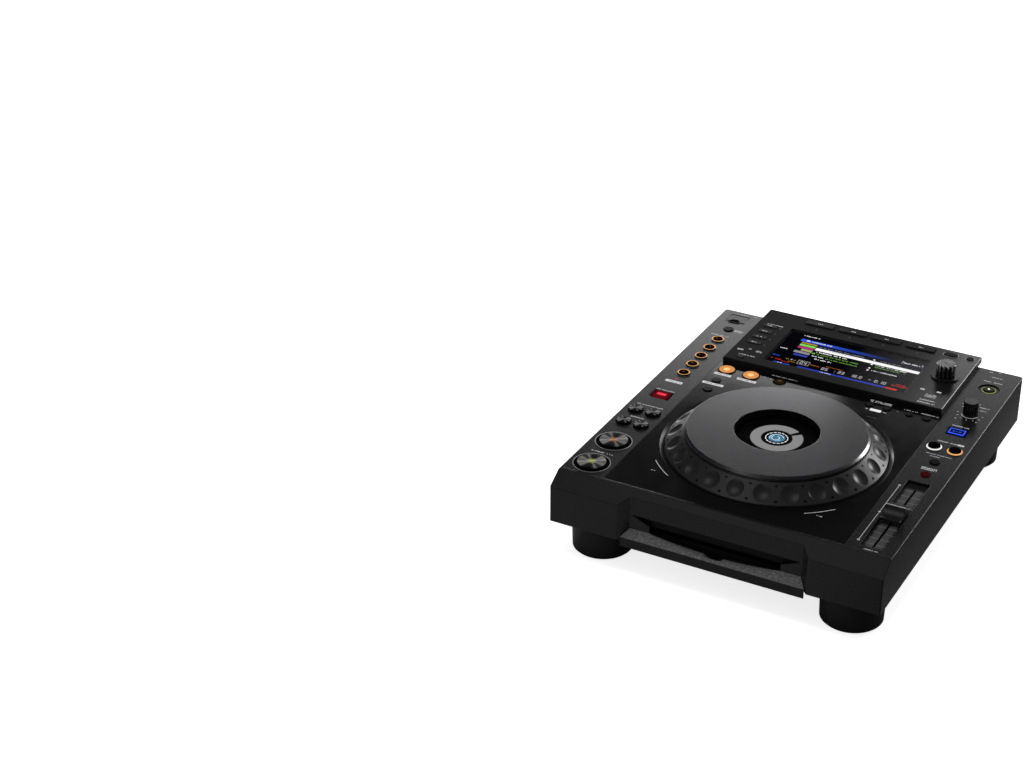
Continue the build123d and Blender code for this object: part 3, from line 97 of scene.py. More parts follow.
class Finish:
    """A procedural material round one Principled shader."""

    def __init__(self, name):
        self.material = bpy.data.materials.new(name)
        self.material.use_nodes = True
        self.tree = self.material.node_tree
        self.shader = self.tree.nodes["Principled BSDF"]
        self.place = self.node("ShaderNodeTexCoord").outputs["Object"]

    def node(self, kind, **settings):
        made = self.tree.nodes.new(kind)
        for key, value in settings.items():
            setattr(made, key, value)
        return made

    def link(self, a, b):
        self.tree.links.new(a, b)

    def put(self, port, value):
        """Sets a socket to a number or a colour, or joins it to a node, which a function may build."""
        if callable(value):
            value = value(self)
        if isinstance(value, tuple):
            port.default_value = (*value, 1.0)
        elif isinstance(value, (int, float)):
            port.default_value = value
        else:
            self.link(value, port)

    def noise(self, scale, detail=3.0, where=None):
        made = self.node("ShaderNodeTexNoise")
        made.inputs["Scale"].default_value = scale
        made.inputs["Detail"].default_value = detail
        self.link(where or self.place, made.inputs["Vector"])
        return made.outputs["Fac"]

    def ranged(self, value, low, high, start=0.3, end=0.7):
        made = self.node("ShaderNodeMapRange")
        made.inputs["From Min"].default_value = start
        made.inputs["From Max"].default_value = end
        made.inputs["To Min"].default_value = low
        made.inputs["To Max"].default_value = high
        self.link(value, made.inputs["Value"])
        return made.outputs["Result"]

    def maths(self, how, a, b=None):
        made = self.node("ShaderNodeMath", operation=how)
        self.put(made.inputs[0], a)
        if b is not None:
            self.put(made.inputs[1], b)
        return made.outputs["Value"]

    def blend(self, factor, a, b):
        made = self.node("ShaderNodeMix", data_type="RGBA")
        self.put(made.inputs["Factor"], factor)
        self.put(made.inputs["A"], a)
        self.put(made.inputs["B"], b)
        return made.outputs["Result"]

    def bump(self, height, depth, under=None):
        made = self.node("ShaderNodeBump")
        made.inputs["Distance"].default_value = depth
        self.link(height, made.inputs["Height"])
        if under is not None:
            self.link(under, made.inputs["Normal"])
        return made.outputs["Normal"]

    def axis(self, letter):
        """The place along one axis, in metres."""
        made = self.node("ShaderNodeSeparateXYZ")
        self.link(self.place, made.inputs["Vector"])
        return made.outputs[letter]

    def from_centre(self, x, d):
        """How far the place lies from the upright line at (x, d), along x and along y, in metres."""
        centre = spot(x, d, 0)
        return (
            self.maths("SUBTRACT", self.axis("X"), centre.x),
            self.maths("SUBTRACT", self.axis("Y"), centre.y),
        )

    def upward(self):
        """One where the surface faces up, nought where it is upright or faces down."""
        made = self.node("ShaderNodeSeparateXYZ")
        self.link(self.node("ShaderNodeNewGeometry").outputs["Normal"], made.inputs["Vector"])
        return self.ranged(made.outputs["Z"], 0.0, 1.0, 0.3, 0.6)


def shades(colour, spread):
    """A darker and a lighter shade of a colour."""
    return (
        tuple(min(1.0, c * (1 - spread)) for c in colour),
        tuple(min(1.0, c * (1 + spread)) for c in colour),
    )


def finish(
    name,
    colour,
    rough,
    metal=0.0,
    gloss=0.3,
    grain=700.0,
    spread=0.12,
    wander=0.05,
    relief=0.0,
    relief_grain=1800.0,
    round_edge=0.0,
):
    """A moulded, painted or metal surface with grain in its colour, its roughness and its height.

    Its colour is a grey, a colour or a function that builds one, its roughness a number or a function.
    """
    f = Finish(name)
    speckle = f.noise(grain, 4.0)
    if isinstance(colour, float):
        colour = (colour, colour, colour * 1.03)
    if isinstance(colour, tuple):
        colour = f.blend(speckle, *shades(colour, spread))
    if isinstance(rough, float):
        rough = f.ranged(speckle, rough - wander, rough + wander)
    f.put(f.shader.inputs["Base Color"], colour)
    f.put(f.shader.inputs["Roughness"], rough)
    f.shader.inputs["Metallic"].default_value = metal
    f.shader.inputs["Specular IOR Level"].default_value = gloss
    normal = None
    if round_edge:
        bevel = f.node("ShaderNodeBevel", samples=4)
        bevel.inputs["Radius"].default_value = round_edge
        normal = bevel.outputs["Normal"]
    if relief:
        normal = f.bump(f.noise(relief_grain, 2.0), relief, normal)
    if normal is not None:
        f.link(normal, f.shader.inputs["Normal"])
    return f


def glow(name, colour, strength, base=None, rough=0.4, grain=900.0, spread=0.15):
    """A lit piece: its own light varies a little over it, as behind a moulded diffuser."""
    f = finish(name, base or colour, rough, gloss=0.0, grain=grain, spread=spread)
    f.put(f.shader.inputs["Emission Color"], f.blend(f.noise(grain / 3, 2.0), *shades(colour, spread)))
    f.put(f.shader.inputs["Emission Strength"], strength)
    return f


def faded(start, end, low, high):
    """The strength of a light that changes from left to right, between two places along x."""
    return lambda f: f.ranged(f.axis("X"), low, high, start / 1000, end / 1000)


def on_top(strength):
    """The strength of a light that is only on top, so that the sides of its cap are dark."""
    return lambda f: f.maths("MULTIPLY", f.upward(), strength)


def dark_ends(middle, start, end, strength):
    """The strength of a light that falls off to the left and the right of its middle."""

    def falling(f):
        across = f.maths("ABSOLUTE", f.maths("SUBTRACT", f.axis("X"), middle / 1000))
        return f.ranged(across, strength, strength * 0.15, start / 1000, end / 1000)

    return falling


# Painted highlights on spun metal, in its colour: the direction of each in radians, how narrow it is,
# and its share
PAINTED_HIGHLIGHT_SECTORS = (
    (0.5, 5.0, 0.30),
    (1.05, 26.0, 0.45),
    (-0.12, 18.0, 0.40),
    (0.62, 60.0, 0.5),
    (2.3, 40.0, 0.35),
)


def spun(name, x, d, tint, reach, light=0.42, dark=0.004, sharp=2.0):
    """Metal turned on a lathe, with painted highlights in its colour that fan out from the centre, and a
    glow at its centre: a lamp below on lit buttons, a painted highlight on unlit ones.
    """
    f = Finish(name)
    across, along = f.from_centre(x, d)
    angle = f.maths("ARCTAN2", along, across)
    squares = f.maths("ADD", f.maths("MULTIPLY", across, across), f.maths("MULTIPLY", along, along))
    radius = f.maths("SQRT", squares)
    painted_highlights = 0.0
    for turn, narrow, share in PAINTED_HIGHLIGHT_SECTORS:
        beam = f.maths("ABSOLUTE", f.maths("COSINE", f.maths("SUBTRACT", angle, turn)))
        glint = f.maths("MULTIPLY", f.maths("POWER", beam, narrow * sharp), share)
        painted_highlights = f.maths("ADD", glint, painted_highlights)

    # The grooves are fine across the radius and long round the centre.
    rays = f.node("ShaderNodeCombineXYZ")
    f.put(rays.inputs["X"], f.maths("MULTIPLY", angle, 6.0))
    f.put(rays.inputs["Y"], f.maths("MULTIPLY", radius, 2500.0))
    grooves = f.noise(1.0, 3.0, rays.outputs["Vector"])
    painted_highlights = f.maths("MULTIPLY", painted_highlights, f.ranged(grooves, 0.7, 1.2))
    pale = (light, light * 0.97, light * 0.93)
    f.put(f.shader.inputs["Base Color"], f.blend(painted_highlights, (dark, dark, dark), pale))
    f.put(f.shader.inputs["Roughness"], f.ranged(grooves, 0.28, 0.4))
    f.shader.inputs["Specular IOR Level"].default_value = 0.02
    near = f.maths("MULTIPLY", f.ranged(radius, 1.0, 0.0, 0.0, reach / 1000), 0.7)
    f.put(f.shader.inputs["Emission Color"], f.blend(near, (0.0, 0.0, 0.0), tint))
    f.shader.inputs["Emission Strength"].default_value = 1.0
    return f


def fluted(name, centre, count, dark, light):
    """A knob with flutes and painted highlights in its colour: pale glints run along the flutes,
    stronger in some places than in others.
    """

    def colour(f):
        across, along = f.from_centre(*centre)
        angle = f.maths("ARCTAN2", along, across)
        wave = f.maths("ABSOLUTE", f.maths("COSINE", f.maths("MULTIPLY", angle, count / 2)))
        glint = f.maths("POWER", wave, 6.0)
        patchy_painted_highlight = f.ranged(f.noise(120.0, 1.0), 0.1, 1.0, 0.4, 0.6)
        return f.blend(f.maths("MULTIPLY", glint, patchy_painted_highlight), (dark, dark, dark), (light, light, light))

    return finish(name, colour, 0.25, gloss=0.4, round_edge=0.0004)


# Meshes


def piece(name, bm, look, body="console", smooth=None):
    """Turns the bmesh into a piece that rides on a body."""
    bmesh.ops.recalc_face_normals(bm, faces=bm.faces)
    mesh = bpy.data.meshes.new(name)
    bm.to_mesh(mesh)
    bm.free()
    mesh.materials.append(look.material)
    made = bpy.data.objects.new(name, mesh)
    bpy.context.scene.collection.objects.link(made)
    if smooth:
        mesh.shade_smooth()
        mesh.set_sharp_from_angle(angle=math.radians(smooth))
    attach(made, body)


def prism(bm, outline, low, high):
    """A closed prism over a convex outline of (x, d) points."""
    below = [bm.verts.new(spot(x, d, low)) for x, d in outline]
    above = [bm.verts.new(spot(x, d, high)) for x, d in outline]
    bm.faces.new(below[::-1])
    bm.faces.new(above)
    count = len(outline)
    for i in range(count):
        j = (i + 1) % count
        bm.faces.new((below[i], below[j], above[j], above[i]))


def bar(bm, x, d, w, h, z, turn=0.0, lift=PRINT_LIFT):
    """A printed or lit rectangle w by h about (x, d), turned by degrees."""
    c, s = math.cos(math.radians(turn)), math.sin(math.radians(turn))
    corners = [(-w / 2, -h / 2), (w / 2, -h / 2), (w / 2, h / 2), (-w / 2, h / 2)]
    outline = [(x + u * c - v * s, d + u * s + v * c) for u, v in corners]
    prism(bm, outline, z - PRINT_SINK, z + lift)


def frame_of(bm, x, d, w, h, thick, z):
    """A rectangular outline of four bars."""
    for way in (-1, 1):
        bar(bm, x, d + way * (h - thick) / 2, w, thick, z)
    for way in (-1, 1):
        bar(bm, x + way * (w - thick) / 2, d, thick, h - 2 * thick, z)


def band(
    bm, x, d, inner, outer, z, start=0.0, end=360.0, lift=PRINT_LIFT, sink=PRINT_SINK, step=6.0, drop=0.0
):
    """A printed or lit ring, or an arc of one, round (x, d). Its outer edge can lie lower."""
    turns = max(3, int(round((end - start) / step)))
    whole = end - start >= 360.0
    angles = [math.radians(start + (end - start) * i / turns) for i in range(turns + (not whole))]
    section = ((inner, z - sink), (outer, z - sink), (outer, z + lift - drop), (inner, z + lift))
    rows = []
    for a in angles:
        c, s = math.cos(a), math.sin(a)
        rows.append([bm.verts.new(spot(x + r * c, d + r * s, h)) for r, h in section])
    for i in range(turns):
        a, b = rows[i], rows[(i + 1) % len(rows)]
        for k in range(4):
            bm.faces.new((a[k], b[k], b[(k + 1) % 4], a[(k + 1) % 4]))
    if not whole:
        bm.faces.new(rows[0])
        bm.faces.new(rows[-1][::-1])


def disc(bm, x, d, r, z, lift=PRINT_LIFT, sides=40):
    """A printed or lit round spot."""
    outline = [
        (x + r * math.cos(2 * math.pi * i / sides), d + r * math.sin(2 * math.pi * i / sides))
        for i in range(sides)
    ]
    prism(bm, outline, z - PRINT_SINK, z + lift)


def turned(bm, x, d, profile, sides=64):
    """A solid of revolution round (x, d). Its profile of (r, z) points starts and ends on the axis."""
    rings = []
    for r, z in profile:
        if r == 0:
            rings.append([bm.verts.new(spot(x, d, z))])
            continue
        ring = []
        for i in range(sides):
            a = 2 * math.pi * i / sides
            ring.append(bm.verts.new(spot(x + r * math.cos(a), d + r * math.sin(a), z)))
        rings.append(ring)
    for a, b in zip(rings, rings[1:]):
        for i in range(sides):
            j = (i + 1) % sides
            if len(a) == 1:
                bm.faces.new((a[0], b[i], b[j]))
            elif len(b) == 1:
                bm.faces.new((a[i], b[0], a[j]))
            else:
                bm.faces.new((a[i], b[i], b[j], a[j]))


def label(bm, x, d, w, h, z, rows=1, fill=0.85):
    """A plain printed label: rows of small strokes of random width, none of them a letter.

    Some strokes are lower than the rest, and a share of them, 1 - fill, is left out.
    """
    rng = random.Random(int(10 * x) + 7 * int(10 * d))
    pitch = h / rows
    tall = pitch * 0.8
    for row in range(rows):
        v = (row - (rows - 1) / 2) * pitch
        u = -w / 2
        while u < w / 2 - 0.3:
            wide = min(tall * rng.uniform(0.35, 0.75), w / 2 - u)
            if rng.random() < fill:
                height = tall * rng.choice((1.0, 1.0, 0.72))
                low = v - (tall - height) / 2
                bar(bm, x + u + wide / 2, d + low, wide * 0.82, height, z)
            u += wide + tall * 0.16


# The segments of each plain number
SEGMENTS = {
    "0": "abcdef", "1": "bc", "2": "abged", "3": "abgcd", "4": "fgbc",
    "5": "afgcd", "6": "afgedc", "7": "abc", "8": "abcdefg", "9": "abcdfg", "-": "g",
}


def digits(bm, text, x, d, h, z):
    """Plain seven-segment numbers, left edge at x and middle at d."""
    wide, t = h * 0.52, h * 0.13
    side, high = wide / 2 - t / 2, h / 2 - t / 2
    places = {
        "a": (0, high, wide, t), "g": (0, 0, wide, t), "d": (0, -high, wide, t),
        "f": (-side, h / 4, t, h / 2), "b": (side, h / 4, t, h / 2),
        "e": (-side, -h / 4, t, h / 2), "c": (side, -h / 4, t, h / 2),
    }
    for sign in text:
        if sign in ".:":
            bar(bm, x + t / 2, d - high, t, t, z)
            if sign == ":":
                bar(bm, x + t / 2, d + h * 0.15, t, t, z)
            x += t * 2.2
            continue
        for key in SEGMENTS[sign]:
            u, v, w, tall = places[key]
            bar(bm, x + wide / 2 + u, d + v, w, tall, z)
        x += wide + t * 1.6


# Finishes of the CAD nodes, by material slot


def lip_grain_and_painted_top_light(f):
    """Near black where upright, paler with grain where it faces up: the grain is the lip's own, the
    paler tops are painted light.
    """
    share = f.ranged(f.noise(900.0, 3.0), 0.0, 1.0, 0.32, 0.68)
    grain = f.blend(share, (0.06, 0.06, 0.061), (0.19, 0.19, 0.19))
    return f.blend(f.upward(), (0.008, 0.008, 0.008), grain)


def housing_roughness(f):
    """The housing is matt on its left and satin on its right."""
    return f.ranged(f.axis("X"), 0.92, 0.27, 0.02, 0.095)


def window_colour(f):
    """A near white that varies a little."""
    return f.blend(f.noise(200.0), (0.85, 0.85, 0.85), (0.95, 0.95, 0.95))


ring_look = finish("jog_ring_satin", 0.013, 0.38, gloss=0.6, grain=1200.0, spread=0.2, relief=0.00001)
ring_look.shader.inputs["Sheen Weight"].default_value = 0.05
ring_look.shader.inputs["Sheen Roughness"].default_value = 0.35

# The window lets the screen through and adds a faint sheen that grows to the right.
window_look = finish("window_sheen", window_colour, 0.45, metal=1.0, gloss=1.0, grain=300.0, wander=0.03)
see_through = window_look.node("ShaderNodeBsdfTransparent")
window_mix = window_look.node("ShaderNodeMixShader")
window_share = window_look.ranged(window_look.axis("X"), 0.0, 0.035, 0.0, 0.066)
window_out = window_look.tree.nodes["Material Output"]
window_look.link(window_share, window_mix.inputs["Fac"])
window_look.link(see_through.outputs["BSDF"], window_mix.inputs[1])
window_look.link(window_look.shader.outputs["BSDF"], window_mix.inputs[2])
window_look.link(window_mix.outputs["Shader"], window_out.inputs["Surface"])

looks = {
    "case": finish(
        "case_paint", 0.0072, 0.30, gloss=0.185, grain=800.0, spread=0.4,
        relief=0.00005, relief_grain=800.0, round_edge=0.0010,
    ),
    "tray": finish("tray_paint", 0.012, 0.55, gloss=0.2, relief=0.00002),
    "screw": finish("screw_zinc", 0.12, 0.4, metal=1.0),
    "foot": finish(
        "foot_plastic", 0.005, 0.5, gloss=0.15,
        relief=0.00003, relief_grain=1500.0, round_edge=0.0008,
    ),
    # The lip's tops are painted paler than its sides, as light from above would make them.
    "lip": finish(
        "lip_grain_and_painted_light", lip_grain_and_painted_top_light, 0.6, gloss=0.2, grain=900.0,
        relief=0.00012, relief_grain=1000.0, round_edge=0.0006,
    ),
    "throat": finish("throat_plastic", 0.004, 0.6, gloss=0.1),
    "panel": finish("panel_gloss", 0.0026, 0.16, gloss=0.24, grain=60.0, wander=0.02),
    "housing": finish(
        "housing_satin", 0.0065, housing_roughness, gloss=0.32, grain=1500.0, spread=0.2,
        relief=0.00001, round_edge=0.0006,
    ),
    "window": window_look,
    "lcd": finish("lcd_dark", 0.003, 0.4, gloss=0.1),
    "bezel": finish("bezel_gloss", 0.012, 0.22, gloss=0.6, grain=200.0, round_edge=0.0005),
    "eye": finish("eye_glass", 0.002, 0.12, gloss=0.05, grain=150.0, wander=0.02),
    "jog_ring": ring_look,
    "jog_plate": finish(
        "jog_plate_metal", 0.205, 0.27, metal=1.0, grain=1800.0, spread=0.05,
        wander=0.004, round_edge=0.0005,
    ),
    "scale": finish("scale_dark", 0.010, 0.5, gloss=0.2, grain=900.0),
    "fader": finish("fader_satin", 0.008, 0.32, gloss=0.5, round_edge=0.0008),
    # The knob and the selector carry painted highlights along their flutes.
    "knob": fluted("knob_rubber", SPEED_KNOB, 18, 0.005, 0.05),
    "shaft": finish("shaft_metal", 0.4, 0.3, metal=1.0),
    "selector": fluted("selector_gloss", SELECTOR, 20, 0.003, 0.32),
    "usb": finish("usb_plate", 0.4, 0.3, metal=1.0),
    "lid": finish(
        "lid_satin", 0.007, 0.32, gloss=0.16, grain=1500.0, relief=0.00002, round_edge=0.0003
    ),
    "rear": finish("rear_paint", 0.012, 0.5, gloss=0.2, relief=0.00002),
    "inlet": finish("inlet_plastic", 0.008, 0.4, round_edge=0.0004),
    "sockets": finish("socket_nickel", 0.10, 0.35, metal=0.5, grain=1500.0),
    "power": finish("power_plastic", 0.015, 0.35, round_edge=0.0004),
    "drive": finish("drive_zinc", 0.45, 0.35, metal=1.0, grain=300.0),
    "turntable": finish("turntable_plastic", 0.03, 0.4),
    "sled": finish("sled_plastic", 0.03, 0.4),
    "roller": finish("roller_rubber", 0.03, 0.7, gloss=0.2),
    "board": finish("board_green", (0.02, 0.12, 0.05), 0.4, grain=300.0, spread=0.3),
    "housing_key": finish("housing_key_satin", 0.014, 0.35, gloss=0.02, round_edge=0.0004),
    "dark_cap": finish("dark_cap_satin", 0.005, 0.3, gloss=0.02, round_edge=0.0004),
    "spun": finish("spun_black", 0.003, 0.2, gloss=0.02),
    "eject": finish("eject_gloss", (0.005, 0.006, 0.003), 0.2, gloss=0.05),
    "red_key": glow(
        "red_key_lit", (0.50, 0.008, 0.028), dark_ends(-COLUMN, 5.5, 8.2, 0.18),
        base=(0.03, 0.003, 0.005), rough=0.3,
    ),
    "blue_key": glow("blue_key_lit", (0.01, 0.02, 0.3), 0.10, base=(0.003, 0.004, 0.03), rough=0.25),
    "red_cap": glow("red_cap_dim", (0.30, 0.008, 0.012), 0.06, base=(0.03, 0.004, 0.005), rough=0.25),
    "ring_cap": finish("ring_cap_gloss", 0.002, 0.15, gloss=0.0, round_edge=0.0003),
    "amber_cap": glow("amber_cap_lit", (0.80, 0.34, 0.11), on_top(0.85), base=(0.05, 0.02, 0.006)),
    "brass_cap": finish("brass_cap_dim", (0.022, 0.014, 0.008), 0.25, gloss=0.0, round_edge=0.0003),
    "small_key": finish("small_key_satin", 0.006, 0.3, gloss=0.04, round_edge=0.0003),
    "cue_cap": finish("cue_cap_gloss", (0.004, 0.003, 0.002), 0.15, gloss=0.0, round_edge=0.0003),
    "gloss_cap": finish("gloss_cap_black", 0.003, 0.2, gloss=0.05, round_edge=0.0004),
}

for entry in frame["record"]["subparts"]:
    node = nodes[entry["node"]]
    node.data.materials.clear()
    node.data.materials.append(looks[entry["material_slot"]].material)

# Inks and lights of the printed and lit pieces
ink = finish("ink_pale", 0.62, 0.5, gloss=0.1, grain=2500.0, spread=0.2)
ink_strip = finish("ink_strip", 0.78, 0.5, grain=2500.0, spread=0.12)
ink_bright = glow("ink_white_lit", (0.9, 0.9, 0.9), 0.35, base=(0.7, 0.7, 0.7), grain=2500.0)
ink_dim = finish("ink_dim", 0.09, 0.5, grain=2500.0, spread=0.3)
ink_outline = finish("ink_outline", 0.17, 0.5, grain=2500.0, spread=0.2)
# Black for dark print, and for painted shade in gaps and in the lid's finger pull.
black_ink_and_shade = finish("black_ink_and_shade", 0.004, 0.3, gloss=0.0)
ink_amber = finish("ink_amber", (0.40, 0.20, 0.08), 0.5, grain=2500.0, spread=0.2)
ink_red = finish("ink_red", (0.30, 0.02, 0.02), 0.5, grain=2500.0, spread=0.2)
ring_amber = glow("ring_amber", (0.95, 0.50, 0.18), 0.62, base=(0.5, 0.22, 0.06), grain=1500.0)
ring_white = glow("ring_white", (0.95, 0.95, 0.92), 0.65, base=(0.5, 0.5, 0.5), grain=1500.0)
ring_green = glow("ring_green", (0.62, 0.66, 0.28), 0.28, base=(0.2, 0.22, 0.08), grain=1500.0)
blue_light = glow("blue_light", (0.06, 0.14, 1.0), 0.85, base=(0.02, 0.05, 0.4), grain=1500.0)
red_light = glow("red_light", (0.75, 0.03, 0.03), 0.7, base=(0.4, 0.02, 0.02), grain=1500.0)
black_gloss = finish("black_gloss", 0.003, 0.15, wander=0.02)
trim = finish("trim_silver", 0.5, 0.3, metal=0.7, grain=1500.0, spread=0.1)

# Labels of the two button columns and the centre panel: x, d, width, height, rows
pale = bmesh.new()
for x, d, w, h, rows in (
    (-133.0, 317.7, 20, 1.7, 1),
    (-131.2, 369.5, 13, 1.4, 1),
    (-117.7, 370.6, 3.5, 1.8, 1),
    (-121.3, 333.2, 10, 4.6, 3),
    (123.2, 369.6, 3, 1.4, 1),
    (131.0, 371.8, 2.5, 1.6, 1),
    (-131.8, 189.7, 18, 1.7, 1),
    (-131.8, 155.5, 27, 1.8, 1),
    (-131.8, 130.5, 14, 1.8, 1),
    (-131.3, 58.3, 21, 1.8, 1),
    (131.0, 360.7, 12, 1.5, 1),
    (130.3, 350.7, 19, 1.8, 1),
    (131.2, 254.7, 18, 1.9, 1),
    (130.6, 221.6, 19, 1.9, 1),
    (131.3, 196.1, 24, 1.4, 1),
    (128.0, 192.3, 10, 1.4, 1),
    (131.3, 169.2, 14, 4.8, 2),
    (132.7, 21.6, 12, 1.5, 1),
    (-43.6, 265.5, 26, 1.5, 1),
    (-59.5, 258.4, 12, 1.4, 1),
    (52.6, 262.9, 21, 4.4, 2),
    (82.0, 261.6, 13, 1.9, 1),
    (100.2, 261.6, 17, 1.9, 1),
    (-78.1, 52.4, 5, 1.6, 1),
    (76.5, 50.9, 5, 1.6, 1),
):
    label(pale, x, d, w, h, DECK, rows)
piece("labels", pale, ink)

# Filled strips with dark words on them: x, d, width, height
strips = bmesh.new()
words = bmesh.new()
for x, d, w, h in (
    (-132.3, 209.0, 17, 4.0),
    (-98.0, 244.0, 17, 4.0),
    (-73.5, 243.7, 19, 4.0),
    (-98.5, 222.5, 21, 3.8),
    (142.6, 221.6, 5.5, 2.6),
):
    bar(strips, x, d, w, h, DECK)
    label(words, x, d, w - 3, h * 0.45, DECK + PRINT_LIFT, fill=0.7)
piece("label_strips", strips, ink_strip)
piece("label_strip_words", words, ink_dim)

# Faint labels: x, d, width, height
faint = bmesh.new()
for x, d, w, h in (
    (-98.0, 237.8, 14, 1.5),
    (130.5, 363.9, 4, 1.2),
    (-131.8, 171.0, 2, 1.0),
    (-132.4, 339.6, 8, 1.0),
):
    label(faint, x, d, w, h, DECK)
bar(faint, 54.0, 233.0, 10, 0.5, DECK)
piece("labels_faint", faint, ink_dim)

# Lit mark between the call keys, their labels and the small lens beside them
lit = bmesh.new()
bar(lit, 53.2, 246.8, 10.5, 4.2, DECK)
piece("call_lamp", lit, ink_bright)
marks = bmesh.new()
for x in (44.5, 62.0):
    label(marks, x, 246.6, 4.0, 1.6, DECK)
piece("call_marks", marks, ink)
lens = bmesh.new()
lens_profile = [
    (0, DECK + 0.45),
    (0.9, DECK + 0.35),
    (1.3, DECK + 0.1),
    (1.3, DECK - PRINT_SINK),
    (0, DECK - PRINT_SINK),
]
turned(lens, 71.5, 254.7, lens_profile, 20)
piece("call_lens", lens, ink_dim, smooth=40)

# Black wells, lit rings and thin outlines of the hot cue buttons, and the line between them
wells = bmesh.new()
amber = bmesh.new()
outlines = bmesh.new()
for i in range(5):
    d = HOT_CUE_BACK - HOT_CUE_PITCH * i
    band(wells, -COLUMN, d, 5.85, 6.35, DECK, lift=1.3)
    band(wells, -COLUMN, d, 6.35, 6.8, DECK, lift=0.03)
    band(amber, -COLUMN, d, 5.15, 5.85, DECK, lift=1.3)
    band(outlines, -COLUMN, d, 6.9, 7.2, DECK, lift=0.03)
    if i < 4:
        bar(outlines, -COLUMN, d - HOT_CUE_PITCH / 2, 0.45, 5.0, DECK)
    mark = bmesh.new()
    label(mark, -COLUMN, d, 3.4, 1.3, HOT_CUE_TOP)
    piece(f"hot_cue_{i + 1}_mark", mark, ink_red, f"hot_cue_{i + 1}")
piece("cue_wells", wells, black_gloss)
piece("cue_rings", amber, ring_amber)
piece("cue_outlines", outlines, ink_outline)
dot = bmesh.new()
disc(dot, -132.4, 215.2, 1.0, DECK, lift=0.08)
piece("cue_dot", dot, red_light)

# Trim rings and spun faces of the two large buttons; the faces carry painted highlights in their colour
silver = bmesh.new()
for d in (CUE_BACK, PLAY_BACK):
    band(silver, -COLUMN, d, 16.1, 16.9, DECK, lift=0.10, step=4.0)
piece("transport_trims", silver, trim)
face_profile = [
    (0, 79.32), (3.0, 79.34), (8.0, 79.42), (12.2, 79.52), (12.7, 79.40), (12.8, 79.0), (0, 78.9)
]
for name, d, tint in (("cue", CUE_BACK, (0.50, 0.20, 0.05)), ("play", PLAY_BACK, (0.45, 0.50, 0.12))):
    face = bmesh.new()
    turned(face, -COLUMN, d, face_profile, 96)
    look = spun(f"{name}_spun", -COLUMN, d, tint, 5.0)
    piece(f"{name}_face", face, look, f"{name}_button", smooth=25)

# Spun tops of the four search and track buttons, with painted highlights in their colour
top_profile = [(0, 79.33), (6.0, 79.38), (6.4, 79.30), (6.4, 79.1), (0, 79.0)]
for name, d in (("search", 144.0), ("track", 119.0)):
    for way, x in (("back", -140.2), ("forward", -122.8)):
        top = bmesh.new()
        turned(top, x, d, top_profile, 48)
        # The grey glow at each top's centre is a painted highlight, as these buttons have no lamp.
        look = spun(f"{name}_{way}_spun", x, d, (0.2, 0.2, 0.2), 1.2, light=0.7, dark=0.001, sharp=9.0)
        piece(f"{name}_{way}_top", top, look, f"{name}_{way}", smooth=25)

# Finger pull of the USB lid, in painted shade: a dark arch for its notch, and a dark line for the gap
# along the lid's front
pull_shade = bmesh.new()
arch = [
    (-133.6 + 5.4 * math.cos(math.radians(a)), 352.0 + 4.8 * math.sin(math.radians(a)))
    for a in range(0, 181, 12)
]
prism(pull_shade, arch, LID_TOP - 0.08, LID_TOP + 0.06)
bar(pull_shade, -131.9, 351.7, 18.9, 1.4, DECK, lift=0.06)
piece("lid_pull_shade", pull_shade, black_ink_and_shade, "usb_lid")

# Eject button: rim, lit ring and lit centre
green = bmesh.new()
band(green, *EJECT, 6.2, 6.8, DECK - 1.0, lift=0.4, drop=0.2)
piece("eject_ring", green, ring_green)
rim = bmesh.new()
band(rim, *EJECT, 10.2, 10.7, DECK)
piece("eject_rim", rim, ink_dim)
tip = bmesh.new()
disc(tip, *EJECT, 1.1, EJECT_TOP, sides=20)
piece("eject_lamp", tip, glow("eject_glow", (0.85, 0.9, 0.5), 0.7), "eject_button")

# Tick marks, arc and words round the speed knob
ticks = bmesh.new()
for a in range(180, 390, 30):
    x = SPEED_KNOB[0] + 11.6 * math.cos(math.radians(a))
    d = SPEED_KNOB[1] + 11.6 * math.sin(math.radians(a))
    bar(ticks, x, d, 1.8, 0.5, DECK, turn=a)
band(ticks, *SPEED_KNOB, 7.3, 8.1, DECK, 195, 345)
piece("speed_ticks", ticks, ink)
speed_words = bmesh.new()
label(speed_words, 139.6, 298.0, 9.5, 1.7, DECK)
label(speed_words, 139.6, 292.3, 7.5, 1.3, DECK)
label(speed_words, 133.7, 302.7, 2.5, 1.6, DECK)
for x, d in (
    (124.3, 309.6), (129.3, 309.0), (119.5, 298.2), (120.8, 292.8), (121.7, 268.2), (140.9, 268.8)
):
    bar(speed_words, x, d, 1.3, 1.1, DECK)
piece("speed_words", speed_words, ink)

# Lit frame of the jog mode key, glow of the direction key
frame_blue = bmesh.new()
frame_of(frame_blue, COLUMN, JOG_MODE_BACK, 14.4, 9.8, 0.9, LIT_KEY_TOP)
bar(frame_blue, COLUMN, JOG_MODE_BACK - 4.2, 14.4, 1.5, LIT_KEY_TOP)
label(frame_blue, COLUMN, JOG_MODE_BACK + 0.3, 8.0, 2.2, LIT_KEY_TOP)
piece("jog_mode_frame", frame_blue, blue_light, "jog_mode_button")
red_middle = bmesh.new()
bar(red_middle, -COLUMN, DIRECTION_BACK, 9.0, 4.2, LIT_KEY_TOP)
direction_glow = glow("direction_glow", (0.90, 0.05, 0.09), 0.62, base=(0.4, 0.02, 0.03), grain=300.0)
piece("direction_lamp", red_middle, direction_glow, "direction_button")

# Rings round the sync and master buttons
for name, x, look in (("sync_ring", 122.0, ring_white), ("master_ring", 141.0, ring_amber)):
    ring = bmesh.new()
    band(ring, x, 209.2, 5.75, 6.9, DECK, lift=0.8, drop=0.5)
    piece(name, ring, look)

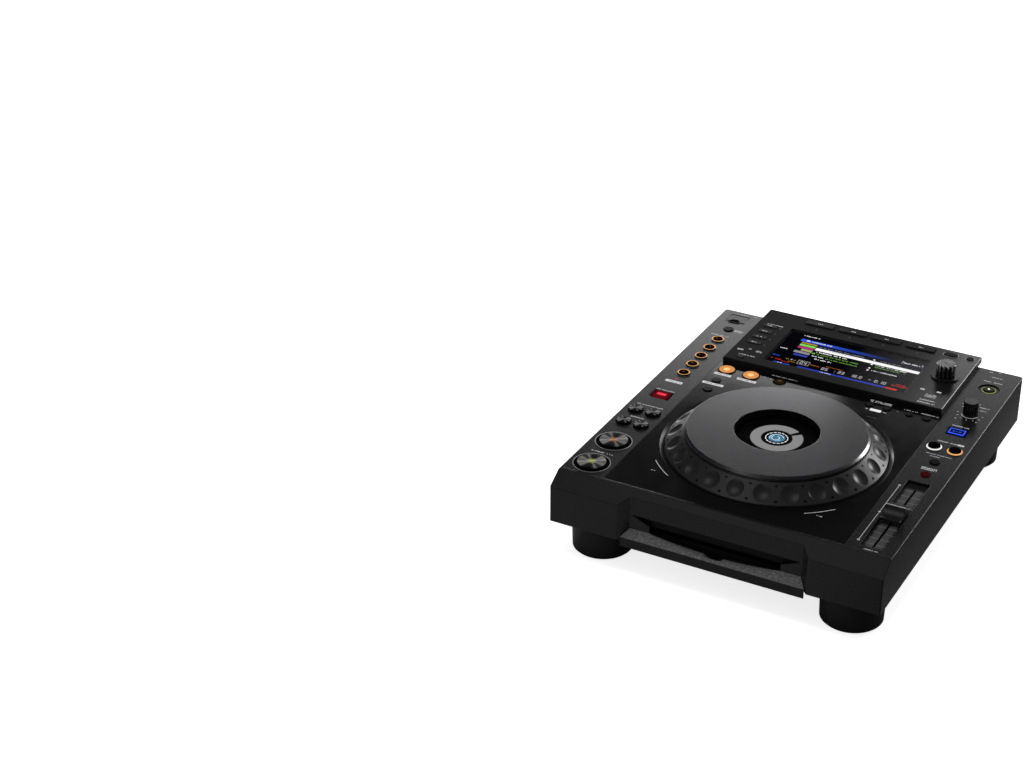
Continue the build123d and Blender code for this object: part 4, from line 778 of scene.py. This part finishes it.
# Striped floor of the tempo fader
stripes = bmesh.new()
strokes = bmesh.new()
for k in range(76):
    major = k % 7 == 3
    target = strokes if major else stripes
    w = 7.4 if major else (6.6 if k % 2 else 6.0)
    for side in (-1, 1):
        bar(target, COLUMN + side * (1.1 + w / 2), 32.0 + k * 1.35, w, 0.85, FADER_FLOOR, lift=0.04)
piece("fader_stripes", stripes, finish("stripe_grey", 0.075, 0.5, grain=1500.0, spread=0.25))
piece("fader_strokes", strokes, finish("stroke_grey", 0.15, 0.5, grain=1500.0, spread=0.25))

# Line beside the fader with its end rings and its middle dot, and the bright ridge of the cap
guide = bmesh.new()
for d in (57.0, 107.0):
    bar(guide, FADER_LINE_X, d, 0.45, 46.0, DECK)
for d in (32.6, 131.4):
    band(guide, FADER_LINE_X, d, 0.7, 1.2, DECK, step=20.0)
disc(guide, FADER_LINE_X, 82.0, 1.1, DECK, sides=16)
piece("fader_line", guide, ink)
ridge = bmesh.new()
bar(ridge, COLUMN, 83.35, 16.9, 0.6, FADER_TOP, lift=0.04)
piece("fader_ridge", ridge, ink, "fader_cap")

# Arcs printed on the centre panel
arcs = bmesh.new()
for x0, d0, x1, d1 in ((-84.3, 69.3, -63.7, 49.3), (63.5, 48.9, 83.5, 68.0)):
    a0 = math.degrees(math.atan2(d0 - JOG[1], x0 - JOG[0])) % 360
    a1 = math.degrees(math.atan2(d1 - JOG[1], x1 - JOG[0])) % 360
    r = math.hypot(x0 - JOG[0], d0 - JOG[1])
    band(arcs, *JOG, r - 0.3, r + 0.3, DECK, min(a0, a1), max(a0, a1), step=2.0)
piece("panel_arcs", arcs, ink)

# Dark rings of painted shade in the gaps round the loop buttons and the reloop button, the loop buttons'
# pale middles, and the mark of the reloop button
gap_shades = bmesh.new()
for name, x in (("loop_in", LOOP_IN_X), ("loop_out", LOOP_OUT_X)):
    band(gap_shades, x, 253.9, 7.85, 8.7, DECK, lift=0.04)
    middle = bmesh.new()
    disc(middle, x, 253.4, 3.0, LOOP_TOP, lift=0.04, sides=24)
    look = glow(f"{name}_glow", (0.95, 0.56, 0.22), 0.8, base=(0.5, 0.25, 0.08), grain=400.0)
    piece(f"{name}_middle", middle, look, f"{name}_button")
band(gap_shades, RELOOP_X, 255.5, 5.3, 6.4, DECK, lift=0.04)
reloop_mark = bmesh.new()
label(reloop_mark, RELOOP_X, 255.3, 4.0, 1.4, LOOP_TOP)
piece("reloop_mark", reloop_mark, ink_amber, "reloop_button")
piece("loop_gap_shades", gap_shades, black_ink_and_shade)

# Small dark ovals between the dimples of the jog ring, whose slope runs from its edge to its neck
RING_EDGE = (98.6, 77.6)
RING_NECK = (82.6, 90.6)
OVAL_SIDES = 14
ovals = bmesh.new()
run, rise = RING_EDGE[0] - RING_NECK[0], RING_NECK[1] - RING_EDGE[1]
slope = math.hypot(run, rise)
for k in range(24):
    a = math.radians(7.5 + 15.0 * k)
    out = Vector((math.cos(a), math.sin(a), 0))
    side = Vector((-math.sin(a), math.cos(a), 0))
    climb = (-out * run + Vector((0, 0, rise))) / slope
    normal = (out * rise + Vector((0, 0, run))) / slope
    for share, wide, tall in ((0.16, 1.5, 1.1), (0.84, 1.2, 0.9)):
        middle = Vector((*JOG, RING_EDGE[1] + rise * share)) + out * (RING_EDGE[0] - run * share)
        rows = []
        for lift in (-0.04, 0.04):
            ring = []
            for i in range(OVAL_SIDES):
                turn = 2 * math.pi * i / OVAL_SIDES
                p = middle + side * wide * math.cos(turn) + climb * tall * math.sin(turn) + normal * lift
                ring.append(ovals.verts.new(spot(*p)))
            rows.append(ring)
        ovals.faces.new(rows[0][::-1])
        ovals.faces.new(rows[1])
        for i in range(OVAL_SIDES):
            j = (i + 1) % OVAL_SIDES
            ovals.faces.new((rows[0][i], rows[0][j], rows[1][j], rows[1][i]))
piece("ring_ovals", ovals, black_ink_and_shade, "jog_wheel")

# Black lining of the jog wheel's eye
lining = bmesh.new()
band(lining, *JOG, 37.7, 38.02, 88.2, lift=7.1, sink=0.0, step=4.0)
piece("eye_lining", lining, black_ink_and_shade, "jog_wheel", smooth=30)

# Picture of the round screen in the eye
grey = bmesh.new()
band(grey, *JOG, 14.0, 23.4, EYE, 55.0, 403.0, lift=0.04, step=3.0)
eye_grey = glow("eye_grey", (0.22, 0.22, 0.22), 0.95, base=(0.05, 0.05, 0.05), spread=0.06)
piece("eye_ring", grey, eye_grey)
dashes = bmesh.new()
for k in range(16):
    band(dashes, *JOG, 9.3, 10.2, EYE, 22.5 * k, 22.5 * k + 16, lift=0.04, step=4.0)
piece("eye_dashes", dashes, ring_white)
blue = bmesh.new()
disc(blue, *JOG, 7.6, EYE, lift=0.03)
eye_blue = glow(
    "eye_blue_lit", (0.10, 0.31, 0.50), 0.45, base=(0.01, 0.03, 0.05), grain=600.0, spread=0.5
)
piece("eye_blue", blue, eye_blue)
pattern = bmesh.new()
for r, a in ((6.2, 20), (4.4, 140), (2.6, 260)):
    band(pattern, *JOG, r - 0.3, r + 0.3, EYE, a, a + 200, lift=0.06, step=8.0)
eye_pale = glow("eye_pale", (0.55, 0.7, 0.8), 0.6, grain=1500.0)
piece("eye_pattern", pattern, eye_pale)

# Glass of the main screen, over the display module, and the columns of what it shows
LEFT, RIGHT, NEAR, FAR = -71.2, 66.0, 283.9, 352.5
LIST_LEFT = -38.0
BLOCK_LEFT, BLOCK_RIGHT = -55.0, -39.0
glass = bmesh.new()
glass_outline = [(LEFT, NEAR), (RIGHT, NEAR), (RIGHT, FAR), (LEFT, FAR)]
prism(glass, glass_outline, SCREEN_BACK - 0.05, SCREEN)
screen_black = glow("screen_black", (0.002, 0.002, 0.004), 0.3, base=(0.001, 0.001, 0.002), spread=0.3)
piece("screen_glass", glass, screen_black)

# Lights of the main screen
white_light = glow(
    "screen_white", (0.95, 0.95, 0.95), 0.95, base=(0.1, 0.1, 0.1), grain=1500.0, spread=0.04
)
green_light = glow("screen_green", (0.25, 0.55, 0.10), 0.6, base=(0.02, 0.04, 0.01), grain=1500.0)
lime_light = glow("screen_lime", (0.22, 0.75, 0.10), 0.9, base=(0.02, 0.06, 0.01), grain=1500.0)
grey_light = glow("screen_grey", (0.5, 0.5, 0.52), 0.5, base=(0.03, 0.03, 0.03), grain=1500.0)
orange_light = glow("screen_orange", (0.75, 0.22, 0.03), 0.6, base=(0.05, 0.02, 0.01), grain=1500.0)
crimson_light = glow("screen_red", (0.75, 0.03, 0.02), 0.8, base=(0.05, 0.01, 0.01), grain=1500.0)
pink_light = glow("screen_pink", (0.45, 0.04, 0.20), 0.8, base=(0.04, 0.01, 0.02), grain=1500.0)
cream_light = glow("screen_cream", (0.45, 0.50, 0.22), 0.7, base=(0.04, 0.04, 0.02), grain=1500.0)
yellow_light = glow("screen_yellow", (0.50, 0.32, 0.05), 0.7, base=(0.04, 0.03, 0.01), grain=1500.0)
deep_light = glow("screen_blue", (0.03, 0.06, 0.42), 0.8, base=(0.01, 0.01, 0.05), grain=1500.0)
title_fade = faded(-60, 35, 1.0, 0.0)
title_light = glow("title_blue", (0.03, 0.11, 0.75), title_fade, base=(0.005, 0.005, 0.02))
haze_fade = faded(-60, 20, 0.4, 0.0)
haze_light = glow("haze_blue", (0.01, 0.02, 0.16), haze_fade, base=(0.003, 0.003, 0.01))
foot_fade = faded(-40, 48, 0.75, 0.9)
foot_light = glow("foot_blue", (0.03, 0.05, 0.45), foot_fade, base=(0.005, 0.005, 0.03))
pale_light = glow("screen_pale", (0.5, 0.5, 0.5), 0.85, base=(0.05, 0.05, 0.05), grain=1500.0)


def lit_bar(name, look, left, right, near, far, lift=PRINT_LIFT):
    """A plain lit bar of the main screen between four edges."""
    bm = bmesh.new()
    bar(bm, (left + right) / 2, (near + far) / 2, right - left, far - near, SCREEN, lift=lift)
    piece(name, bm, look)


def words_of(name, look, places, z=SCREEN + 0.02):
    """One lit piece of marks in place of words, each given by its left, middle, width and height."""
    bm = bmesh.new()
    for left, d, w, h in places:
        label(bm, left + w / 2, d, w, h, z, fill=0.8)
    piece(name, bm, look)


lit_bar("screen_title", title_light, -57.5, RIGHT, 337.6, 342.6)
lit_bar("screen_haze", haze_light, LIST_LEFT, RIGHT, 330.9, 337.6, lift=0.03)
lit_bar("screen_highlight", white_light, LIST_LEFT, RIGHT, 325.4, 330.6)
lit_bar("screen_yellow_block", yellow_light, BLOCK_LEFT, BLOCK_RIGHT, 333.6, 336.4)
lit_bar("screen_green_block", lime_light, BLOCK_LEFT, BLOCK_RIGHT, 328.4, 332.2)
lit_bar("screen_pink_block", pink_light, BLOCK_LEFT, BLOCK_RIGHT, 323.0, 327.6)
lit_bar("screen_cream_block", cream_light, -50.0, BLOCK_RIGHT, 318.6, 322.6)
lit_bar("screen_pale_block", grey_light, BLOCK_LEFT, BLOCK_RIGHT, 312.8, 317.0)
lit_bar("screen_deep_block", deep_light, -53.0, BLOCK_RIGHT, 307.0, 310.6)
lit_bar("screen_foot", foot_light, -40.0, 46.8, NEAR, 287.4)
lit_bar("screen_foot_red", crimson_light, 47.6, 59.0, 284.0, 287.6)
words_of("screen_status", white_light, [(-58.3, 349.8, 17.0, 1.8)])
words_of("screen_title_words", white_light, [(-52.0, 340.3, 26.0, 2.0)])
words_of("screen_haze_words", grey_light, [(-36.0, 333.6, 45.0, 1.5), (25.0, 333.6, 22.0, 1.3)])
words_of(
    "screen_white_words",
    white_light,
    [
        (-35.0, 322.6, 31.0, 2.4),
        (-36.0, 313.2, 12.0, 1.8),
        (-31.5, 308.3, 17.0, 2.0),
        (24.5, 323.4, 31.0, 1.7),
        (24.5, 312.0, 25.0, 1.8),
    ],
)
words_of(
    "screen_green_words",
    green_light,
    [(-33.0, 318.0, 43.0, 2.2), (-22.0, 313.0, 32.0, 2.0), (25.0, 319.8, 30.0, 1.8)],
)
words_of("screen_lime_words", lime_light, [(-38.0, 318.6, 3.6, 3.4)])
words_of("screen_dark_words", black_ink_and_shade, [(-24.0, 329.0, 30.0, 0.8)], SCREEN + PRINT_LIFT)
words_of("screen_right_words", white_light, [(46.0, 341.4, 17.0, 2.4)])

# Brackets, small squares and the numbers of the main screen
corners = bmesh.new()
for x, way in ((44.6, 1), (64.6, -1)):
    bar(corners, x, 341.4, 0.5, 4.6, SCREEN)
    bar(corners, x + way * 0.7, 343.5, 1.2, 0.5, SCREEN)
    bar(corners, x + way * 0.7, 339.3, 1.2, 0.5, SCREEN)
for x, d in ((19.6, 333.4), (20.6, 323.6), (21.0, 315.8), (21.0, 311.2)):
    bar(corners, x, d, 1.8, 2.0, SCREEN)
bar(corners, -50.4, 340.6, 3.0, 1.6, SCREEN + 0.02)
piece("screen_marks", corners, white_light)
words_of("screen_side_word", white_light, [(-69.3, 315.6, 7.5, 1.9)])

numbers = bmesh.new()
for text, x, d, h in (
    ("04", -40.8, 295.4, 5.2),
    ("05", -18.2, 293.2, 4.9),
    (":", -5.2, 293.4, 4.4),
    ("33", -1.9, 293.6, 4.9),
    ("16.0", 10.7, 293.6, 4.9),
    ("-", 28.4, 293.6, 4.9),
    ("0.10", 34.6, 293.4, 4.9),
):
    digits(numbers, text, x, d, h, SCREEN)
frame_of(numbers, -37.4, 295.4, 11.6, 8.2, 0.4, SCREEN)
bar(numbers, -50.0, 296.6, 1.6, 2.0, SCREEN)
piece("screen_numbers", numbers, pale_light)

# Coloured marks round the numbers
words_of(
    "screen_red_words",
    crimson_light,
    [
        (51.0, 293.6, 15.0, 2.0),
        (54.0, 296.8, 10.0, 1.4),
        (-69.0, 291.8, 10.0, 2.4),
        (-58.0, 290.0, 8.0, 1.8),
    ],
)
words_of("screen_orange_words", orange_light, [(-30.0, 295.0, 10.0, 1.3), (-16.0, 298.6, 17.0, 1.1)])
words_of("screen_yellow_words", yellow_light, [(-56.0, 296.4, 11.0, 1.4), (-52.0, 292.4, 7.0, 1.2)])
words_of("screen_blue_words", title_light, [(-64.0, 285.6, 16.0, 2.0), (-70.0, 299.0, 8.0, 2.0)])
foot_words = [(-18.0, 285.8, 12.0, 1.2), (-60.0, 285.6, 5.0, 1.4)]
words_of("screen_foot_words", white_light, foot_words, SCREEN + PRINT_LIFT)

# Prints and lamps on the display housing
prints = bmesh.new()
ticks_dim = bmesh.new()
for k in range(4):
    bar(ticks_dim, MENU_X + MENU_PITCH * k, 363.6, 0.6, 2.6, HOUSING)
for k in range(4):
    bar(ticks_dim, -83.4, SOURCE_BACK - SOURCE_PITCH * k, 0.6, 2.6, HOUSING)
piece("key_ticks", ticks_dim, ink_dim)
label(prints, -90.8, 353.4, 17.0, 1.6, HOUSING)
for x, d in ((-100.2, 290.3), (-82.1, 293.1)):
    label(prints, x, d, 6.0, 3.4, HOUSING, rows=2)
label(prints, -91.8, 294.9, 3.0, 2.0, HOUSING)
label(prints, -89.6, 281.4, 17.0, 1.7, HOUSING)
for x, d in ((80.1, 296.8), (95.7, 297.6)):
    bar(prints, x, d, 4.2, 2.6, HOUSING)
label(prints, 91.1, 287.3, 10.0, 6.0, HOUSING, rows=4)
label(prints, 91.5, 277.7, 15.0, 2.2, HOUSING)
label(prints, 91.5, 272.6, 16.5, 2.2, HOUSING)
piece("housing_prints", prints, ink)
red_dot = bmesh.new()
disc(red_dot, 88.5, 294.7, 0.9, HOUSING, sides=16)
piece("housing_lamp", red_dot, ink_red)

# Labels on the menu and source keys, and the rims of the two keys beside the menu keys
key_marks = bmesh.new()
for k in range(4):
    label(key_marks, MENU_X + MENU_PITCH * k, REAR_KEYS_BACK, 5.0, 1.8, MENU_KEY_TOP)
piece("menu_marks", key_marks, ink, "menu_keys")
source_marks = bmesh.new()
for k in range(4):
    label(source_marks, -94.5, 349.3 - SOURCE_PITCH * k, 5.0, 1.6, SOURCE_KEY_TOP)
piece("source_marks", source_marks, ink, "source_keys")
tag_rims = bmesh.new()
band(tag_rims, 100.1, REAR_KEYS_BACK, 4.0, 4.6, HOUSING, lift=0.3)
for x0, a in ((77.95, 90.0), (84.65, 270.0)):
    band(tag_rims, x0, REAR_KEYS_BACK, 4.0, 4.6, HOUSING, a, a + 180, lift=0.3, step=12.0)
for way in (-1, 1):
    bar(tag_rims, 81.3, REAR_KEYS_BACK + way * 4.3, 6.7, 0.6, HOUSING, lift=0.3)
piece("tag_rims", tag_rims, finish("rim_grey", 0.24, 0.3, gloss=0.5, spread=0.2))

# Camera, in metres, where the fit to the photograph puts it
SENSOR = 36.0
FOCAL_PIXELS = 2093.007
IMAGE_WIDTH = 1024
scene = bpy.context.scene
camera_data = bpy.data.cameras.new("camera")
camera_data.sensor_width = SENSOR
camera_data.lens = SENSOR * FOCAL_PIXELS / IMAGE_WIDTH
camera_data.clip_start = 0.05
camera_data.clip_end = 50.0
camera = bpy.data.objects.new("camera", camera_data)
scene.collection.objects.link(camera)
right = Vector((0.87394, 0.48602, -0.00372))
down = Vector((0.22714, -0.41517, -0.88093))
forward = Vector((-0.42970, 0.76904, -0.47323))
place = Vector((0.57988, -1.56985, 1.00622))
turn = Matrix((right, -down, -forward)).transposed().to_4x4()
camera.matrix_world = Matrix.Translation(place) @ turn
scene.camera = camera


def lamp(name, where, aim, power, wide, tall):
    """A softbox of a width and a height in metres that shines on its aim."""
    data = bpy.data.lights.new(name, "AREA")
    data.shape = "RECTANGLE"
    data.size = wide
    data.size_y = tall
    data.energy = power
    made = bpy.data.objects.new(name, data)
    scene.collection.objects.link(made)
    made.location = where
    made.rotation_euler = (Vector(aim) - Vector(where)).to_track_quat("-Z", "Y").to_euler()
    return made


lamp("rear_left_softbox", (-0.31, 0.46, 0.235), (-0.31, 0.0, 0.235), 0.58, 0.37, 0.15)
lamp("low_left_softbox", (-0.62, 0.75, 0.13), (0.0, 0.0, 0.09), 0.8, 0.50, 0.12)
lamp("rear_low_softbox", (-0.02, 0.80, 0.35), (-0.02, 0.0, 0.35), 0.5, 0.34, 0.20)
lamp("rear_right_softbox", (0.66, 1.0, 0.38), (0.15, 0.0, 0.08), 4.8, 0.40, 0.30)
lamp("overhead_softbox", (-0.30, -0.30, 1.1), (0.0, -0.1, 0.08), 1.0, 0.6, 0.6)
lamp("top_softbox", (0.0, 0.0, 1.8), (0.0, 0.0, 0.0), 12.0, 1.0, 1.0).visible_glossy = False
lamp("front_strip", (-0.5, -2.4, 0.45), (0.0, 0.0, 0.05), 2.5, 1.6, 0.30)

# The world lights the scene evenly. The camera and clear pieces see it white, and gloss sees it dark.
world = bpy.data.worlds.new("studio")
scene.world = world
world.use_nodes = True
tree = world.node_tree
sky = tree.nodes["Background"]
paths = tree.nodes.new("ShaderNodeLightPath")
seen = tree.nodes.new("ShaderNodeMath")
seen.operation = "MAXIMUM"
tree.links.new(paths.outputs["Is Camera Ray"], seen.inputs[0])
tree.links.new(paths.outputs["Is Transmission Ray"], seen.inputs[1])
mirrored = tree.nodes.new("ShaderNodeMix")
mirrored.data_type = "RGBA"
mirrored.inputs["A"].default_value = (0.30, 0.30, 0.305, 1.0)
mirrored.inputs["B"].default_value = (0.04, 0.04, 0.042, 1.0)
tree.links.new(paths.outputs["Is Glossy Ray"], mirrored.inputs["Factor"])
mix = tree.nodes.new("ShaderNodeMix")
mix.data_type = "RGBA"
mix.inputs["B"].default_value = (1.0, 1.0, 1.0, 1.0)
tree.links.new(seen.outputs["Value"], mix.inputs["Factor"])
tree.links.new(mirrored.outputs["Result"], mix.inputs["A"])
tree.links.new(mix.outputs["Result"], sky.inputs["Color"])

scene.view_settings.view_transform = "Standard"

# The floor keeps the shadow and looks white to the camera. The part itself sees a darker floor.
floor_look = Finish("floor_white")
rays = floor_look.node("ShaderNodeLightPath").outputs
to_right = floor_look.ranged(floor_look.axis("X"), 0.0, 1.0, 0.08, 0.20)
floor_dim = floor_look.maths(
    "MAXIMUM",
    floor_look.maths("MULTIPLY", rays["Is Diffuse Ray"], 0.55),
    floor_look.maths("MULTIPLY", rays["Is Glossy Ray"], to_right),
)
floor_white = floor_look.blend(floor_look.noise(3.0), (0.86, 0.86, 0.86), (0.90, 0.90, 0.90))
floor_seen = floor_look.maths("MAXIMUM", rays["Is Camera Ray"], rays["Is Transmission Ray"])
floor_look.put(
    floor_look.shader.inputs["Base Color"], floor_look.blend(floor_dim, floor_white, (0.05, 0.05, 0.05))
)
floor_look.shader.inputs["Roughness"].default_value = 0.9
floor_look.shader.inputs["Specular IOR Level"].default_value = 0.1
floor_look.shader.inputs["Emission Color"].default_value = (1.0, 1.0, 1.0, 1.0)
floor_light = floor_look.maths("MULTIPLY", floor_seen, 0.78)
floor_look.put(floor_look.shader.inputs["Emission Strength"], floor_light)
bm = bmesh.new()
bmesh.ops.create_grid(bm, x_segments=8, y_segments=8, size=6.0)
mesh = bpy.data.meshes.new("floor")
bm.to_mesh(mesh)
bm.free()
mesh.materials.append(floor_look.material)
floor = bpy.data.objects.new("floor", mesh)
scene.collection.objects.link(floor)
